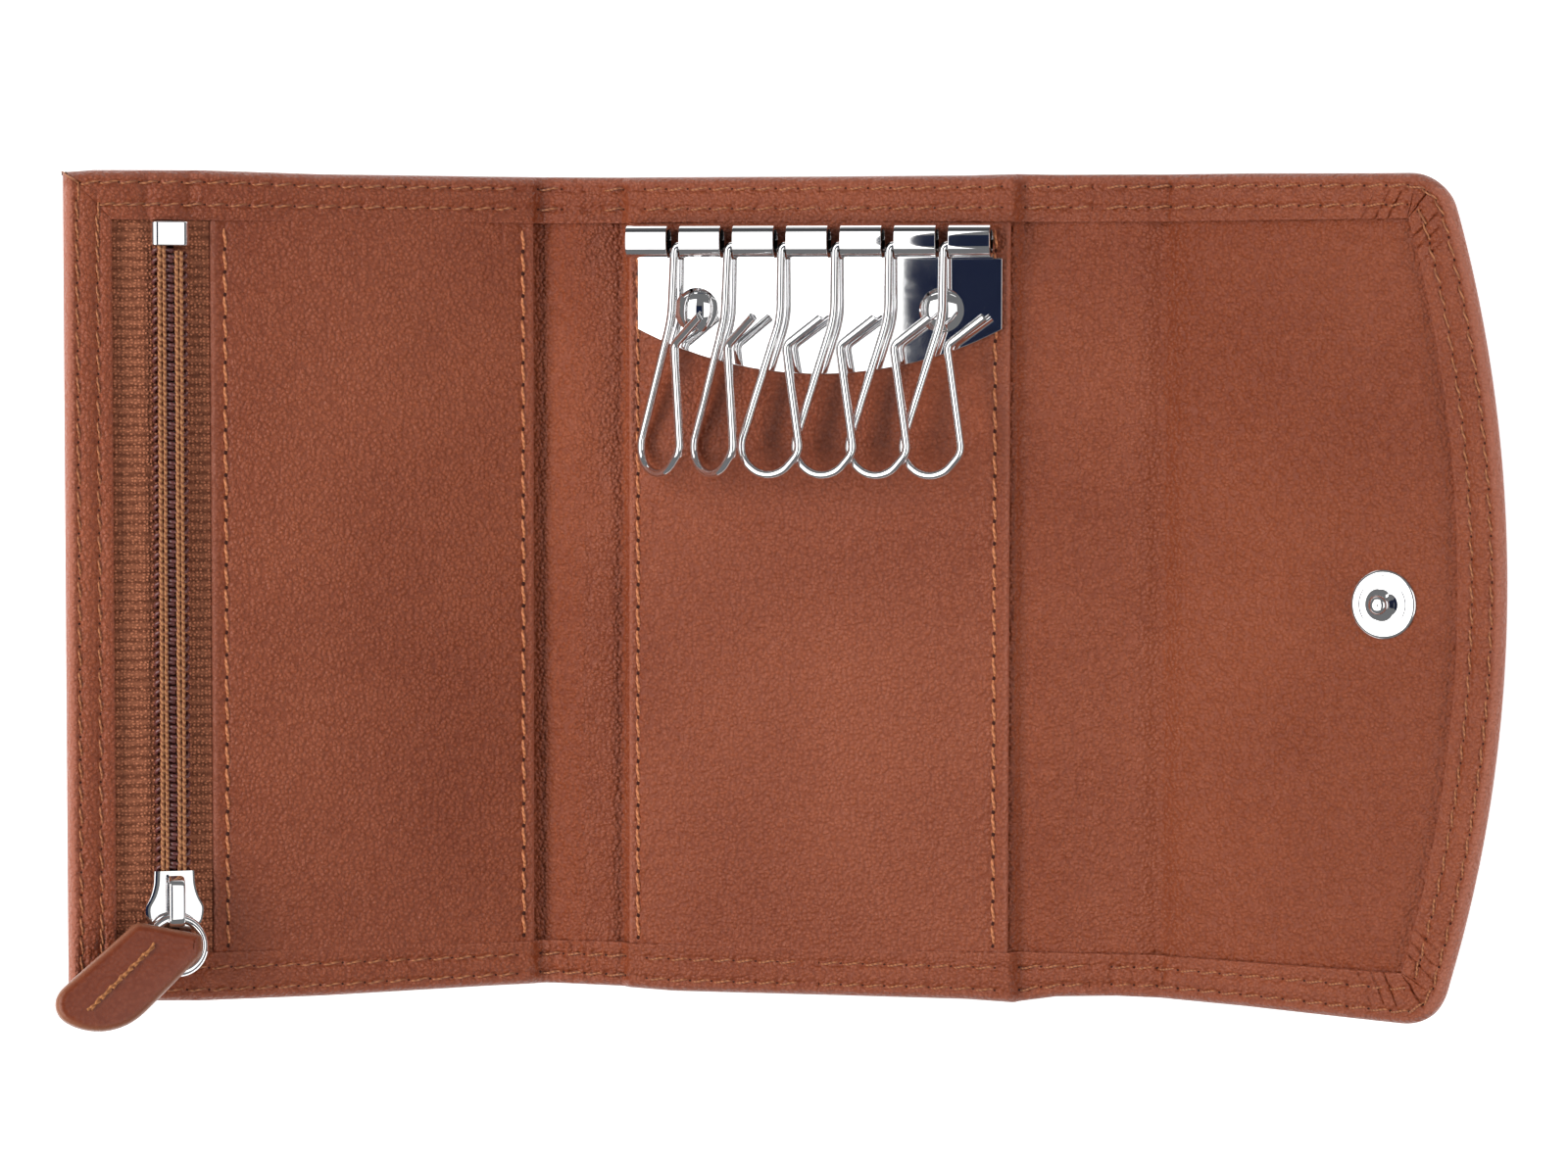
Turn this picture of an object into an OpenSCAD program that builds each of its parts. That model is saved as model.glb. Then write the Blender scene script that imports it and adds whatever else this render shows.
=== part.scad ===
// A leather key case, lying open with its inside up. From left to right it has a panel with a
// zipped coin pocket, a narrow spine, a centre panel that carries six spring hooks, a wider
// spine, and a flap that closes round the outside and snaps to the back of the left panel.
// X runs to the right, Y up along the folds and Z out of the inside. The origin is on the
// outer face of the centre panel, in its middle.

/* [Case] */
// Height of the case, along its folds
case_h = 110; // [104:1:120]
// Width of the left panel, from its fold to its free edge
left_w = 63.3; // [60:0.1:70]
// Width of the spine between the left panel and the centre panel
spine_1_w = 12.3; // [11:0.1:13]
// Width of the centre panel
centre_w = 53; // [52.6:0.1:60]
// Width of the spine between the centre panel and the flap
spine_2_w = 19.9; // [18.5:0.1:24]
// Width of the flap at the middle of its bulging edge
flap_w = 46.9; // [45:0.1:52]
// How far the middle of the flap's edge stands out beyond its ends
flap_bulge = 8.8; // [6:0.1:11]
// Radius of the flap's two corners
flap_corner_r = 6.4; // [3:0.2:8]
// Angle at which the left panel rises from its fold as the case lies open
left_rest = 25; // [0:1:30]
// Angle at which the flap rises from its fold as the case lies open
flap_rest = 19; // [0:1:30]

/* [Leather, lining and card] */
// Thickness of the cover leather
cover_t = 0.8; // [0.6:0.05:1]
// Width of the hem, where the cover is turned over its edge
hem_w = 6.2; // [5:0.1:7]
// Rounding of the turned edge
edge_r = 1; // [0.6:0.1:1.2]
// Thickness of the lining leather
lining_t = 0.5; // [0.4:0.05:0.8]
// Thickness of the card that stiffens the left panel and the flap
board_t = 0.5; // [0.3:0.05:0.8]
// Thickness of the leather of both pockets
pocket_t = 0.8; // [0.6:0.05:1]
// Room for cards in the slip pocket of the centre panel
slip_gap = 0.2; // [0.1:0.05:0.4]
// Gap that each fold leaves between the stiff lengths
fold_gap = 0.3; // [0.2:0.05:0.5]

/* [Coin pocket] */
// Height of the flat bag that the zip opens into
bag_h = 1; // [0.9:0.05:1.4]
// Thickness of the bag's cloth
bag_t = 0.3; // [0.2:0.05:0.35]
// Width of the bag's sewn border at the fold
bag_border = 5; // [3:0.5:8]
// Width of the window that shows the zip
window_w = 13; // [12.8:0.1:16]
// Distance of the zip's middle from the left edge of the window
zip_inset = 7.55; // [7:0.05:7.6]
// Thickness of the zip tape, and of the leather skived to lie level with it
tape_t = 0.4; // [0.3:0.05:0.6]
// Gap between the two tapes
tape_gap = 1.4; // [1.3:0.1:1.8]
// How far the right tape reaches under the pocket leather
tape_tuck = 5; // [3:0.5:8]

/* [Zip] */
// Width of the meshed chain
chain_w = 4; // [3.6:0.1:4.2]
// Height of the chain
chain_h = 1.7; // [1.4:0.1:2]
// Pitch of one row of teeth
tooth_pitch = 1.3; // [1.2:0.05:1.6]
// Length of a tooth along the chain
tooth_l = 0.45; // [0.3:0.05:0.5]
// How far a tooth reaches past the middle of the chain
tooth_reach = 0.55; // [0.4:0.05:0.7]
// Width of the stop at the upper end
stop_w = 5.1; // [4.6:0.1:5.6]
// Length of the stop at the upper end
stop_l = 3.2; // [2.6:0.1:3.4]
// Height of the stop above the tape
stop_h = 2.3; // [2:0.1:2.6]

/* [Slider] */
// Length of the slider
slider_l = 7.6; // [7.4:0.1:8.6]
// Greatest width of the slider
slider_w = 7.9; // [7.8:0.1:8.6]
// Distance of the slider's front from the lower edge of the case
slider_inset = 9.9; // [9.4:0.1:12]
// Thickness of the slider's top plate
slider_t = 0.7; // [0.5:0.05:0.9]
// Thickness of the slider's side walls
slider_wall = 0.5; // [0.4:0.05:0.55]
// Width of the bridge that holds the ring
bridge_w = 2.1; // [1.8:0.1:2.6]
// Room for the ring under the bridge
bridge_gap = 2.3; // [2:0.1:2.8]
// Thickness of the bridge
bridge_t = 0.7; // [0.5:0.05:0.9]

/* [Ring and pull tab] */
// Mean radius of the ring
ring_r = 3.6; // [3.3:0.1:4]
// Radius of the ring's wire
ring_wire_r = 0.58; // [0.5:0.02:0.65]
// Angle at which the ring stands up from the panel
ring_raise = 14; // [10:1:20]
// Width of the leather pull tab
tab_w = 9.9; // [9:0.1:11]
// Distance from the middle of the ring to the tip of the tab
tab_l = 17.3; // [15:0.1:22]
// Thickness of the tab
tab_t = 2.7; // [2.4:0.1:2.8]
// Angle of the tab, from straight down towards the free edge of the case
tab_turn = 45; // [30:1:45]
// Thickness of the filler in the tab
filler_t = 1.2; // [0.8:0.1:1.4]

/* [Key plate] */
// Pitch of the hooks
hook_pitch = 7.25; // [7:0.05:7.3]
// Width of the slot between two barrels
slot_w = 1.7; // [1.6:0.05:2]
// Outer diameter of a rolled barrel
barrel_d = 4.5; // [4.4:0.1:5]
// Thickness of the plate
plate_t = 0.7; // [0.5:0.05:0.75]
// Distance of the barrels' axis from the upper edge of the case
barrel_inset = 8.7; // [8.6:0.1:12]
// Width of the plate below the barrels
plate_w = 49.4; // [46:0.1:50]
// Depth of the plate's straight sides below the barrels' axis
plate_side = 11.75; // [11:0.25:14]
// Further depth of the plate's curved lower edge
plate_bulge = 6; // [4:0.25:7]
// Distance between the two rivets
rivet_span = 33.2; // [30:0.1:36]
// Distance of the rivets below the barrels' axis
rivet_drop = 9.2; // [8:0.1:9.4]
// Radius of a rivet's domed head
rivet_head_r = 3; // [2.4:0.1:3.2]
// Height of a rivet's domed head
rivet_head_h = 1.2; // [0.8:0.1:1.3]
// Radius of a rivet's shank
rivet_r = 1.4; // [1:0.1:1.6]

/* [Key hooks] */
// Length of a hook, from its crossbar to the middle of the wire at its foot
hook_l = 30.6; // [28:0.2:32]
// Width of a hook's loop between the corners of the wire's path
hook_w = 9.28; // [8.8:0.02:9.4]
// Radius of the hook wire
wire_r = 0.6; // [0.5:0.02:0.62]
// Angle at which the hooks stand up from the plate
hook_tilt = 4; // [3:0.5:8]
// Turn of the four hooks that overlap, about their stems
lapped_twist = 12; // [10:1:15]
// Turn of the two hooks that stand clear, about their stems
clear_twist = 48; // [46:1:49]
// Sideways lean of the two hooks that stand clear
clear_lean = 1.7; // [1.6:0.1:2]

/* [Press stud] */
// Distance of the stud from the flap's fold
stud_x = 30.4; // [28:0.1:34]
// Distance of the stud below the middle of the case
stud_drop = 1; // [0:0.5:5]
// Radius of the stud's flange and of the socket
stud_r = 4.6; // [4:0.1:5.4]
// Radius of the stud's ball
ball_r = 1.3; // [1.2:0.05:1.35]
// Height of the socket
socket_h = 2.6; // [2.4:0.1:3]
// Radius of the cap on the outside of the flap
cap_r = 5.5; // [5:0.1:6.5]

/* [Hidden] */
$fn = 48;

// How far a cut runs past what it cuts
overrun = 1;
// Side play of a layer inside the turned hem, and of a shank in its hole
layer_gap = 0.05;
// Running clearance of the slider
slider_gap = 0.1;
// Clearance of the ring inside the tab
ring_gap = 0.08;
// The turned edge is rounded by at most this share of its height
edge_limit_share = 0.48;

// Levels of the left panel, from its outer face up
bag_z = cover_t + board_t;
bag_floor_z = bag_z + bag_t;
tape_z = bag_z + bag_h;
tuck_z = tape_z + tape_t;
panel_h = tuck_z + cover_t;
// Levels of the centre panel
centre_lining_z = tape_z - slip_gap - lining_t;
centre_board_t = centre_lining_z - cover_t;
pocket_top_z = tape_z + pocket_t;
// Levels of the spines and of the flap
spine_h = cover_t + lining_t + cover_t;
flap_lining_z = cover_t + board_t;
flap_face_z = flap_lining_z + lining_t;
flap_h = flap_face_z + cover_t;

// Fold lines
fold_1_x = -centre_w / 2;
fold_2_x = centre_w / 2;

// The flap's edge is one large arc, with a small arc at each corner
flap_arc_r = (case_h * case_h / 4 + flap_bulge * flap_bulge) / (2 * flap_bulge);
flap_arc_x = flap_w - flap_arc_r;
flap_corner_y = case_h / 2 - flap_corner_r;
flap_corner_angle = asin(flap_corner_y / (flap_arc_r - flap_corner_r));
flap_corner_x = flap_arc_x + (flap_arc_r - flap_corner_r) * cos(flap_corner_angle);
// Steps of the computed arcs, and how far a corner's trim runs past its arc
edge_steps = 24;
corner_steps = 8;
corner_overlap = 5;
edge_fn = 720;
dome_fn = 240;

// The zip, in the left panel's own frame
window_x = hem_w - left_w;
pocket_edge_x = window_x + window_w;
zip_x = window_x + zip_inset;
slider_front_y = slider_inset - case_h / 2;
slider_rear_y = slider_front_y + slider_l;
window_top_y = case_h / 2 - hem_w;
stop_clearance = 0.2;
stop_y = window_top_y - stop_clearance - stop_l / 2;
stop_round = 0.9;
stop_web_w = 1;
chain_top_y = stop_y - stop_l / 2 - stop_clearance;
top_stop_w = 1.6;
top_stop_l = 1.7;
top_stop_h = 1.5;
chain_z = tuck_z;
slider_top_z = chain_z + chain_h + slider_gap;
bridge_z = slider_top_z + slider_t;
// Half width of the slider at distances from its rear, as shares of its width and length
slider_shares = [
    [0, 0.335], [0.23, 0.345], [0.39, 0.38], [0.53, 0.435], [0.62, 0.4925], [0.66, 0.5],
    [0.76, 0.49], [0.91, 0.46], [1, 0.38]
];
// The wedge that parts the two rows, between these shares of the slider's length
wedge_shares = [0.65, 0.95];
wedge_w = 1.2;
// Side view of the bridge: each foot's shares of the slider's length
rear_foot_shares = [0.06, 0.19];
front_foot_shares = [0.91, 1];
foot_slope = 0.5;

// The ring hangs under the front of the bridge
ring_y = slider_front_y + ring_wire_r + slider_l * (1 - front_foot_shares[0]) + slider_gap * 2;
ring_z = bridge_z + bridge_gap - ring_wire_r - slider_gap * 2;
// The tab's outline: its top edge as shares of its width, from the middle of the ring
tab_top_shares = [[-0.63, 0.2], [0.27, 0.055]];
tab_side_share = 0.3;
tab_nose_share = 0.445;
filler_inset = 1;
filler_start = ring_r + ring_wire_r + ring_gap + filler_inset;

// The key row, in the centre panel
hook_count = 6;
barrel_y = case_h / 2 - barrel_inset;
plate_z = pocket_top_z;
barrel_z = plate_z + barrel_d / 2;
bore_r = barrel_d / 2 - plate_t;
row_x = -1.2;
plate_x = -0.1;
plate_lap = 0.4;
plate_top = 2.6;
plate_arc_r = (plate_w * plate_w / 4 + plate_bulge * plate_bulge) / (2 * plate_bulge);
rivet_y = barrel_y - rivet_drop;
washer_r = 3.5;
washer_t = 0.4;
// A crossbar lies a little below and above the axis of its barrels
bar_drop = 0.6;
bar_rise = 0.5;
bar_y = barrel_y - bar_drop;
bar_z = barrel_z + bar_rise;
pocket_left_inset = 0.5;
pocket_right_inset = 0.9;
rib_w = 2.4;

// A hook's path of straight wires, from the crossbar to the tail, in shares of the hook's width
// and length, with the radius of each bend as a share of its width
clear_hooks = 2;
bar_share = 0.28;
bar_end_share = 0.1;
bar_root_share = 0.16;
root_share = 0.9;
wire_sides = 12;
bend_step = 18;
head_shares = [[0.28, 0], [0, 0], [0, 0.16]];
loop_shares = [
    [0, 0.16], [0, 0.317], [-0.682, 1], [0.038, 1], [0.318, 0.905], [0.088, 0.436], [0.631, 0.317]
];
head_bend_shares = [0, 0.08, 0];
loop_bend_shares = [0, 1.29, 0.41, 0.345, 0.14, 0.108, 0];

// The press stud
stud_flange_t = 0.4;
stud_step_r = 3.2;
stud_step_t = 0.3;
neck_r = 0.95;
post_r = 1.3;
post_seat = 0.25;
cap_h = 1.1;
mouth_gap = 0.12;
socket_mouth_r = ball_r + mouth_gap;
groove_reach = 0.45;
groove_r = ball_r + groove_reach;
groove_depth = 0.2;
groove_w = 0.55;
spring_reach = 0.07;
spring_r = ball_r + spring_reach;
spring_wire_r = 0.22;
spring_angle = 300;
socket_post_reach = 0.2;
socket_post_r = ball_r + socket_post_reach;
socket_post_t = 0.4;
socket_post_seat = 0.4;
socket_flange_r = 3.5;
socket_flange_t = 0.3;

// Closed, the first spine stands so steep that the left panel lies level over the keys, and the
// second spine stands so steep that the stud's flange rests on the socket
closed_turn = 66;
closed_shift = spine_1_w * cos(closed_turn);
closed_gap = 0.1;
closed_rise = spine_1_w * sin(closed_turn) + panel_h + socket_h + stud_flange_t + closed_gap
    - (flap_h - flap_face_z);
fold_step = panel_h - flap_h;
closed_flap_turn = asin(closed_rise / norm([spine_2_w, fold_step])) + atan(fold_step / spine_2_w);
closed_fold_x = centre_w + spine_2_w * cos(closed_flap_turn) + fold_step * sin(closed_flap_turn);
socket_x = stud_x - closed_fold_x - closed_shift;

case_brown = [0.55, 0.33, 0.25];
tape_brown = [0.44, 0.24, 0.17];
card_grey = [0.62, 0.58, 0.52];
bright = [0.84, 0.84, 0.86];

// Placement of each folded length, turned about its fold line on the inside of the case

module on_spine_1() {
    translate([fold_1_x, 0, 0]) children();
}

module on_left() {
    on_spine_1()
        translate([-spine_1_w, 0, panel_h]) rotate([0, left_rest, 0])
            translate([0, 0, -panel_h]) children();
}

module on_spine_2() {
    translate([fold_2_x, 0, 0]) children();
}

module on_flap() {
    on_spine_2()
        translate([spine_2_w, 0, flap_h]) rotate([0, -flap_rest, 0])
            translate([0, 0, -flap_h]) children();
}

// Cover leather

module edge_section(span, h) {
    r = min(edge_r, h * edge_limit_share);
    translate([-span / 2 + r, 0]) square([span - 2 * r, h]);
    translate([-span / 2, r]) square([span, h - 2 * r]);
    for (side = [-1, 1])
        for (level = [r, h - r])
            translate([side * (span / 2 - r), level]) circle(r);
}

module turned_strip(x0, x1, h) {
    difference() {
        translate([x0, 0, 0]) rotate([90, 0, 90]) linear_extrude(x1 - x0) edge_section(case_h, h);
        translate([x0 - overrun, -case_h / 2 + cover_t, cover_t])
            cube([x1 - x0 + 2 * overrun, case_h - 2 * cover_t, h - 2 * cover_t]);
        translate([x0 - overrun, -case_h / 2 + hem_w, cover_t])
            cube([x1 - x0 + 2 * overrun, case_h - 2 * hem_w, h]);
    }
}

module cover_left() {
    color(case_brown) on_left() difference() {
        intersection() {
            translate([-left_w, 0, 0]) rotate([90, 0, 90])
                linear_extrude(left_w - fold_gap / 2) edge_section(case_h, panel_h);
            translate([0, case_h / 2, 0]) rotate([90, 0, 0])
                linear_extrude(case_h) edge_section(2 * left_w, panel_h);
        }
        translate([cover_t - left_w, -case_h / 2 + cover_t, cover_t])
            cube([left_w, case_h - 2 * cover_t, panel_h - 2 * cover_t]);
        translate([hem_w - left_w, -case_h / 2 + hem_w, cover_t])
            cube([left_w, case_h - 2 * hem_w, panel_h]);
        socket_hole();
    }
}

module cover_spine_1() {
    color(case_brown) on_spine_1()
        turned_strip(fold_gap / 2 - spine_1_w, -fold_gap / 2, spine_h);
}

module cover_centre() {
    color(case_brown) turned_strip(fold_1_x + fold_gap / 2, fold_2_x - fold_gap / 2, panel_h);
}

module cover_spine_2() {
    color(case_brown) on_spine_2()
        turned_strip(fold_gap / 2, spine_2_w - fold_gap / 2, spine_h);
}

// Points on an arc, in equal steps
function arc_points(centre, r, from, to, steps) = [
    for (k = [0:steps])
        let (a = from + (to - from) * k / steps) centre + r * [cos(a), sin(a)]
];

// The outline of one layer of the flap, drawn in from its edge
function flap_points(inset) =
    let (
        r = max(flap_corner_r - inset, 0),
        half = case_h / 2 - inset,
        arc_r = flap_arc_r - inset,
        edge_angle = r > 0 ? flap_corner_angle : asin(half / arc_r),
        centre_y = flap_corner_y
    )
    concat(
        [[fold_gap / 2, half], [fold_gap / 2, -half]],
        r > 0 ? arc_points([flap_corner_x, -centre_y], r, -90, -edge_angle, corner_steps) : [],
        arc_points([flap_arc_x, 0], arc_r, -edge_angle, edge_angle, edge_steps),
        r > 0 ? arc_points([flap_corner_x, centre_y], r, edge_angle, 90, corner_steps) : []
    );

module flap_outline(inset) {
    polygon(flap_points(inset));
}

// The flap's full thickness, with its edge rounded, before it is hollowed
module flap_blank() {
    spread = flap_corner_angle + corner_overlap;
    difference() {
        intersection() {
            translate([fold_gap / 2, 0, 0]) rotate([90, 0, 90])
                linear_extrude(flap_w) edge_section(case_h, flap_h);
            translate([flap_arc_x, 0, 0]) rotate([0, 0, -2 * spread])
                rotate_extrude(angle = 4 * spread, $fn = edge_fn) intersection() {
                    edge_section(2 * flap_arc_r, flap_h);
                    square([flap_arc_r, flap_h]);
                }
        }
        for (side = [-1, 1])
            mirror([0, side < 0 ? 1 : 0, 0]) translate([0, 0, -overrun])
                linear_extrude(flap_h + 2 * overrun) corner_cut();
    }
}

// What is trimmed off a square corner to round it
module corner_cut() {
    centre = [flap_corner_x, flap_corner_y];
    from = flap_corner_angle - corner_overlap;
    to = 90 + corner_overlap;
    polygon(concat(
        arc_points(centre, flap_corner_r, from, to, corner_steps),
        arc_points(centre, 2 * flap_corner_r, to, from, 2)
    ));
}

module cover_flap() {
    color(case_brown) on_flap() difference() {
        flap_blank();
        translate([0, 0, cover_t]) linear_extrude(flap_h - 2 * cover_t) flap_outline(cover_t);
        translate([0, 0, cover_t]) linear_extrude(flap_h) flap_outline(hem_w);
        stud_hole(post_r + layer_gap);
    }
}

// Lining and card

module sheet(x0, x1, inset, z, t) {
    translate([x0, -case_h / 2 + inset, z]) cube([x1 - x0, case_h - 2 * inset, t]);
}

module lining_spine_1() {
    color(case_brown) on_spine_1()
        sheet(fold_gap / 2 - spine_1_w, -fold_gap / 2, cover_t + layer_gap, cover_t, lining_t);
}

module lining_centre() {
    color(case_brown) difference() {
        sheet(fold_1_x + fold_gap / 2, fold_2_x - fold_gap / 2, cover_t + layer_gap,
            centre_lining_z, lining_t);
        rivet_places() cylinder(h = panel_h, r = rivet_r + layer_gap);
    }
}

module lining_spine_2() {
    color(case_brown) on_spine_2()
        sheet(fold_gap / 2, spine_2_w - fold_gap / 2, cover_t + layer_gap, cover_t, lining_t);
}

module lining_flap() {
    color(case_brown) on_flap() difference() {
        translate([0, 0, flap_lining_z]) linear_extrude(lining_t)
            flap_outline(cover_t + layer_gap);
        stud_hole(post_r + layer_gap);
    }
}

module board_left() {
    color(card_grey) on_left() difference() {
        sheet(cover_t + layer_gap - left_w, -fold_gap, cover_t + layer_gap, cover_t, board_t);
        socket_hole();
    }
}

module board_centre() {
    color(card_grey) difference() {
        sheet(fold_1_x + fold_gap, fold_2_x - fold_gap, cover_t + layer_gap,
            cover_t, centre_board_t);
        rivet_places() cylinder(h = panel_h, r = washer_r + layer_gap * 2);
    }
}

module board_flap() {
    color(card_grey) on_flap() difference() {
        translate([0, 0, cover_t]) linear_extrude(board_t) flap_outline(cover_t + layer_gap);
        stud_hole(post_r + layer_gap);
    }
}

// Coin pocket

module left_pocket_panel() {
    fold_x = -fold_gap - layer_gap * 2;
    color(case_brown) on_left() difference() {
        union() {
            sheet(pocket_edge_x, fold_x, hem_w + layer_gap, tape_z, pocket_t);
            sheet(pocket_edge_x, fold_x, cover_t + layer_gap, tape_z, tape_t);
        }
        translate([pocket_edge_x - overrun, -case_h / 2, tape_z - overrun])
            cube([tape_tuck + overrun + layer_gap, case_h, tape_t + overrun]);
    }
}

module zip_pocket_bag() {
    fold_x = -fold_gap - layer_gap * 2;
    color(tape_brown) on_left() difference() {
        sheet(cover_t + layer_gap - left_w, fold_x, cover_t + layer_gap, bag_z, bag_h);
        sheet(window_x, -bag_border, hem_w, bag_floor_z, bag_h - 2 * bag_t);
        sheet(window_x, pocket_edge_x, hem_w, bag_floor_z, bag_h);
        socket_hole();
    }
}

module zip_tape_left() {
    color(tape_brown) on_left()
        sheet(cover_t + layer_gap - left_w, zip_x - tape_gap / 2, cover_t + layer_gap,
            tape_z, tape_t);
}

module zip_tape_right() {
    color(tape_brown) on_left()
        sheet(zip_x + tape_gap / 2, pocket_edge_x + tape_tuck, cover_t + layer_gap,
            tape_z, tape_t);
}

// Zip

// One row of the chain, with its teeth pointing right; shift moves it along its pitch
module tooth_row(shift) {
    chain_bottom_y = slider_rear_y - slider_l * wedge_shares[0] + tooth_l;
    root_x = -chain_w / 4;
    count = floor((chain_top_y - chain_bottom_y - tooth_l - abs(shift)) / tooth_pitch) + 1;
    outline = concat(
        [[-chain_w / 2, chain_bottom_y], [-chain_w / 2, chain_top_y], [root_x, chain_top_y]],
        [for (i = [0:count - 1], corner = [0:3])
            [
                corner == 0 || corner == 3 ? root_x : tooth_reach,
                chain_top_y - shift - i * tooth_pitch - (corner < 2 ? 0 : tooth_l)
            ]],
        [[root_x, chain_bottom_y]]
    );
    translate([zip_x, 0, chain_z]) linear_extrude(chain_h) polygon(outline);
}

module zip_coil_left() {
    color(tape_brown) on_left() tooth_row(tooth_pitch / 4);
}

module zip_coil_right() {
    color(tape_brown) on_left()
        translate([2 * zip_x, 0, 0]) mirror([1, 0, 0]) tooth_row(tooth_pitch * 3 / 4);
}

module zip_bottom_stop() {
    floor_t = tape_z - bag_floor_z - 2 * slider_gap;
    color(bright) on_left() translate([zip_x, stop_y, 0]) {
        translate([0, stop_l / 2, tuck_z]) rotate([90, 0, 0]) linear_extrude(stop_l) {
            translate([stop_round - stop_w / 2, 0]) square([stop_w - 2 * stop_round, stop_h]);
            translate([-stop_w / 2, 0]) square([stop_w, stop_h - stop_round]);
            for (side = [-1, 1])
                translate([side * (stop_w / 2 - stop_round), stop_h - stop_round])
                    circle(stop_round);
        }
        translate([-stop_web_w / 2, -stop_l / 2, bag_floor_z + slider_gap])
            cube([stop_web_w, stop_l, tuck_z + layer_gap - bag_floor_z - slider_gap]);
        translate([-stop_w / 2, -stop_l / 2, bag_floor_z + slider_gap])
            cube([stop_w, stop_l, floor_t]);
    }
}

module zip_top_stops() {
    color(bright) on_left()
        for (side = [-1, 1])
            translate([zip_x + side * (tape_gap + top_stop_w) / 2,
                slider_front_y - stop_clearance - top_stop_l / 2, tuck_z + top_stop_h / 2])
                cube([top_stop_w, top_stop_l, top_stop_h], center = true);
}

module slider_outline(shrink) {
    far_side = [for (p = slider_shares) [p[1] * slider_w - shrink, -p[0] * slider_l]];
    near_side = [for (i = [len(far_side) - 1:-1:0]) [-far_side[i][0], far_side[i][1]]];
    polygon(concat(far_side, near_side));
}

// The channel inside the slider, open at both ends
module slider_channel() {
    slider_outline(slider_wall);
    for (end = [0, len(slider_shares) - 1]) {
        half_w = slider_shares[end][1] * slider_w - slider_wall;
        translate([-half_w, -slider_shares[end][0] * slider_l - overrun])
            square([2 * half_w, 2 * overrun]);
    }
}

module slider_body() {
    floor_z = bag_floor_z + slider_gap;
    floor_t = tape_z - floor_z - slider_gap;
    wall_z = tuck_z + slider_gap;
    color(bright) on_left() translate([zip_x, slider_rear_y, 0]) {
        translate([0, 0, slider_top_z]) linear_extrude(slider_t) slider_outline(0);
        translate([0, 0, floor_z]) linear_extrude(floor_t) slider_outline(0);
        translate([0, 0, wall_z]) linear_extrude(slider_top_z - wall_z + slider_t / 2)
            difference() {
                slider_outline(0);
                slider_channel();
            }
        translate([-wedge_w / 2, -wedge_shares[1] * slider_l, floor_z + floor_t / 2])
            cube([wedge_w, (wedge_shares[1] - wedge_shares[0]) * slider_l,
                slider_top_z - floor_z]);
        translate([-bridge_w / 2, 0, 0]) rotate([90, 0, 90]) linear_extrude(bridge_w)
            bridge_side();
    }
}

module bridge_side() {
    top = bridge_z + bridge_gap + bridge_t;
    difference() {
        polygon([
            [-rear_foot_shares[0] * slider_l, bridge_z - slider_t / 2],
            [-rear_foot_shares[0] * slider_l - foot_slope, top],
            [-front_foot_shares[1] * slider_l + foot_slope, top],
            [-front_foot_shares[1] * slider_l, bridge_z - slider_t / 2]
        ]);
        polygon([
            [-rear_foot_shares[1] * slider_l, bridge_z],
            [-rear_foot_shares[1] * slider_l, bridge_z + bridge_gap],
            [-front_foot_shares[0] * slider_l, bridge_z + bridge_gap],
            [-front_foot_shares[0] * slider_l, bridge_z]
        ]);
    }
}

// Ring and pull tab, drawn flat round the middle of the ring

module on_ring() {
    on_left() translate([zip_x, ring_y, ring_z]) rotate([-ring_raise, 0, 0])
        translate([0, -ring_r, 0]) children();
}

module pull_ring() {
    color(bright) on_ring() rotate_extrude() translate([ring_r, 0]) circle(ring_wire_r);
}

// The passage that the folded leather leaves for the ring
module ring_passage() {
    half = ring_wire_r + ring_gap;
    rotate_extrude() translate([ring_r - half, -half]) square(2 * half);
}

// A point of the tab: along its length, then across it
function tab_point(along, across) = [
    -along * sin(tab_turn) + across * cos(tab_turn),
    -along * cos(tab_turn) - across * sin(tab_turn)
];

module tab_outline() {
    nose_r = tab_w * tab_nose_share;
    right = tab_w * tab_side_share;
    left = right - tab_w;
    top_left = tab_top_shares[0] * tab_w;
    top_right = tab_top_shares[1] * tab_w;
    shoulder = (right * cos(tab_turn) - top_right[0]) / sin(tab_turn);
    nose_angle = -90 - tab_turn;
    polygon(concat(
        [top_left, top_right, tab_point(shoulder, right)],
        arc_points(tab_point(tab_l - nose_r, right - nose_r), nose_r,
            nose_angle + 90, nose_angle, corner_steps),
        arc_points(tab_point(tab_l - nose_r, left + nose_r), nose_r,
            nose_angle, nose_angle - 90, corner_steps)
    ));
}

// The half of the plane that the filler takes up
module filler_side() {
    polygon([
        tab_point(filler_start, tab_w), tab_point(tab_l + overrun, tab_w),
        tab_point(tab_l + overrun, -tab_w), tab_point(filler_start, -tab_w)
    ]);
}

module pull_tab() {
    color(case_brown) on_ring() difference() {
        translate([0, 0, -tab_t / 2]) linear_extrude(tab_t) tab_outline();
        ring_passage();
        translate([0, 0, -filler_t / 2]) linear_extrude(filler_t) filler_side();
    }
}

module pull_tab_filler() {
    color(card_grey) on_ring() translate([0, 0, -filler_t / 2]) linear_extrude(filler_t)
        intersection() {
            tab_outline();
            filler_side();
        }
}

// Slip pocket, key plate and rivets

module rivet_places() {
    for (side = [-1, 1])
        translate([plate_x + side * rivet_span / 2, rivet_y, 0]) children();
}

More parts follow.
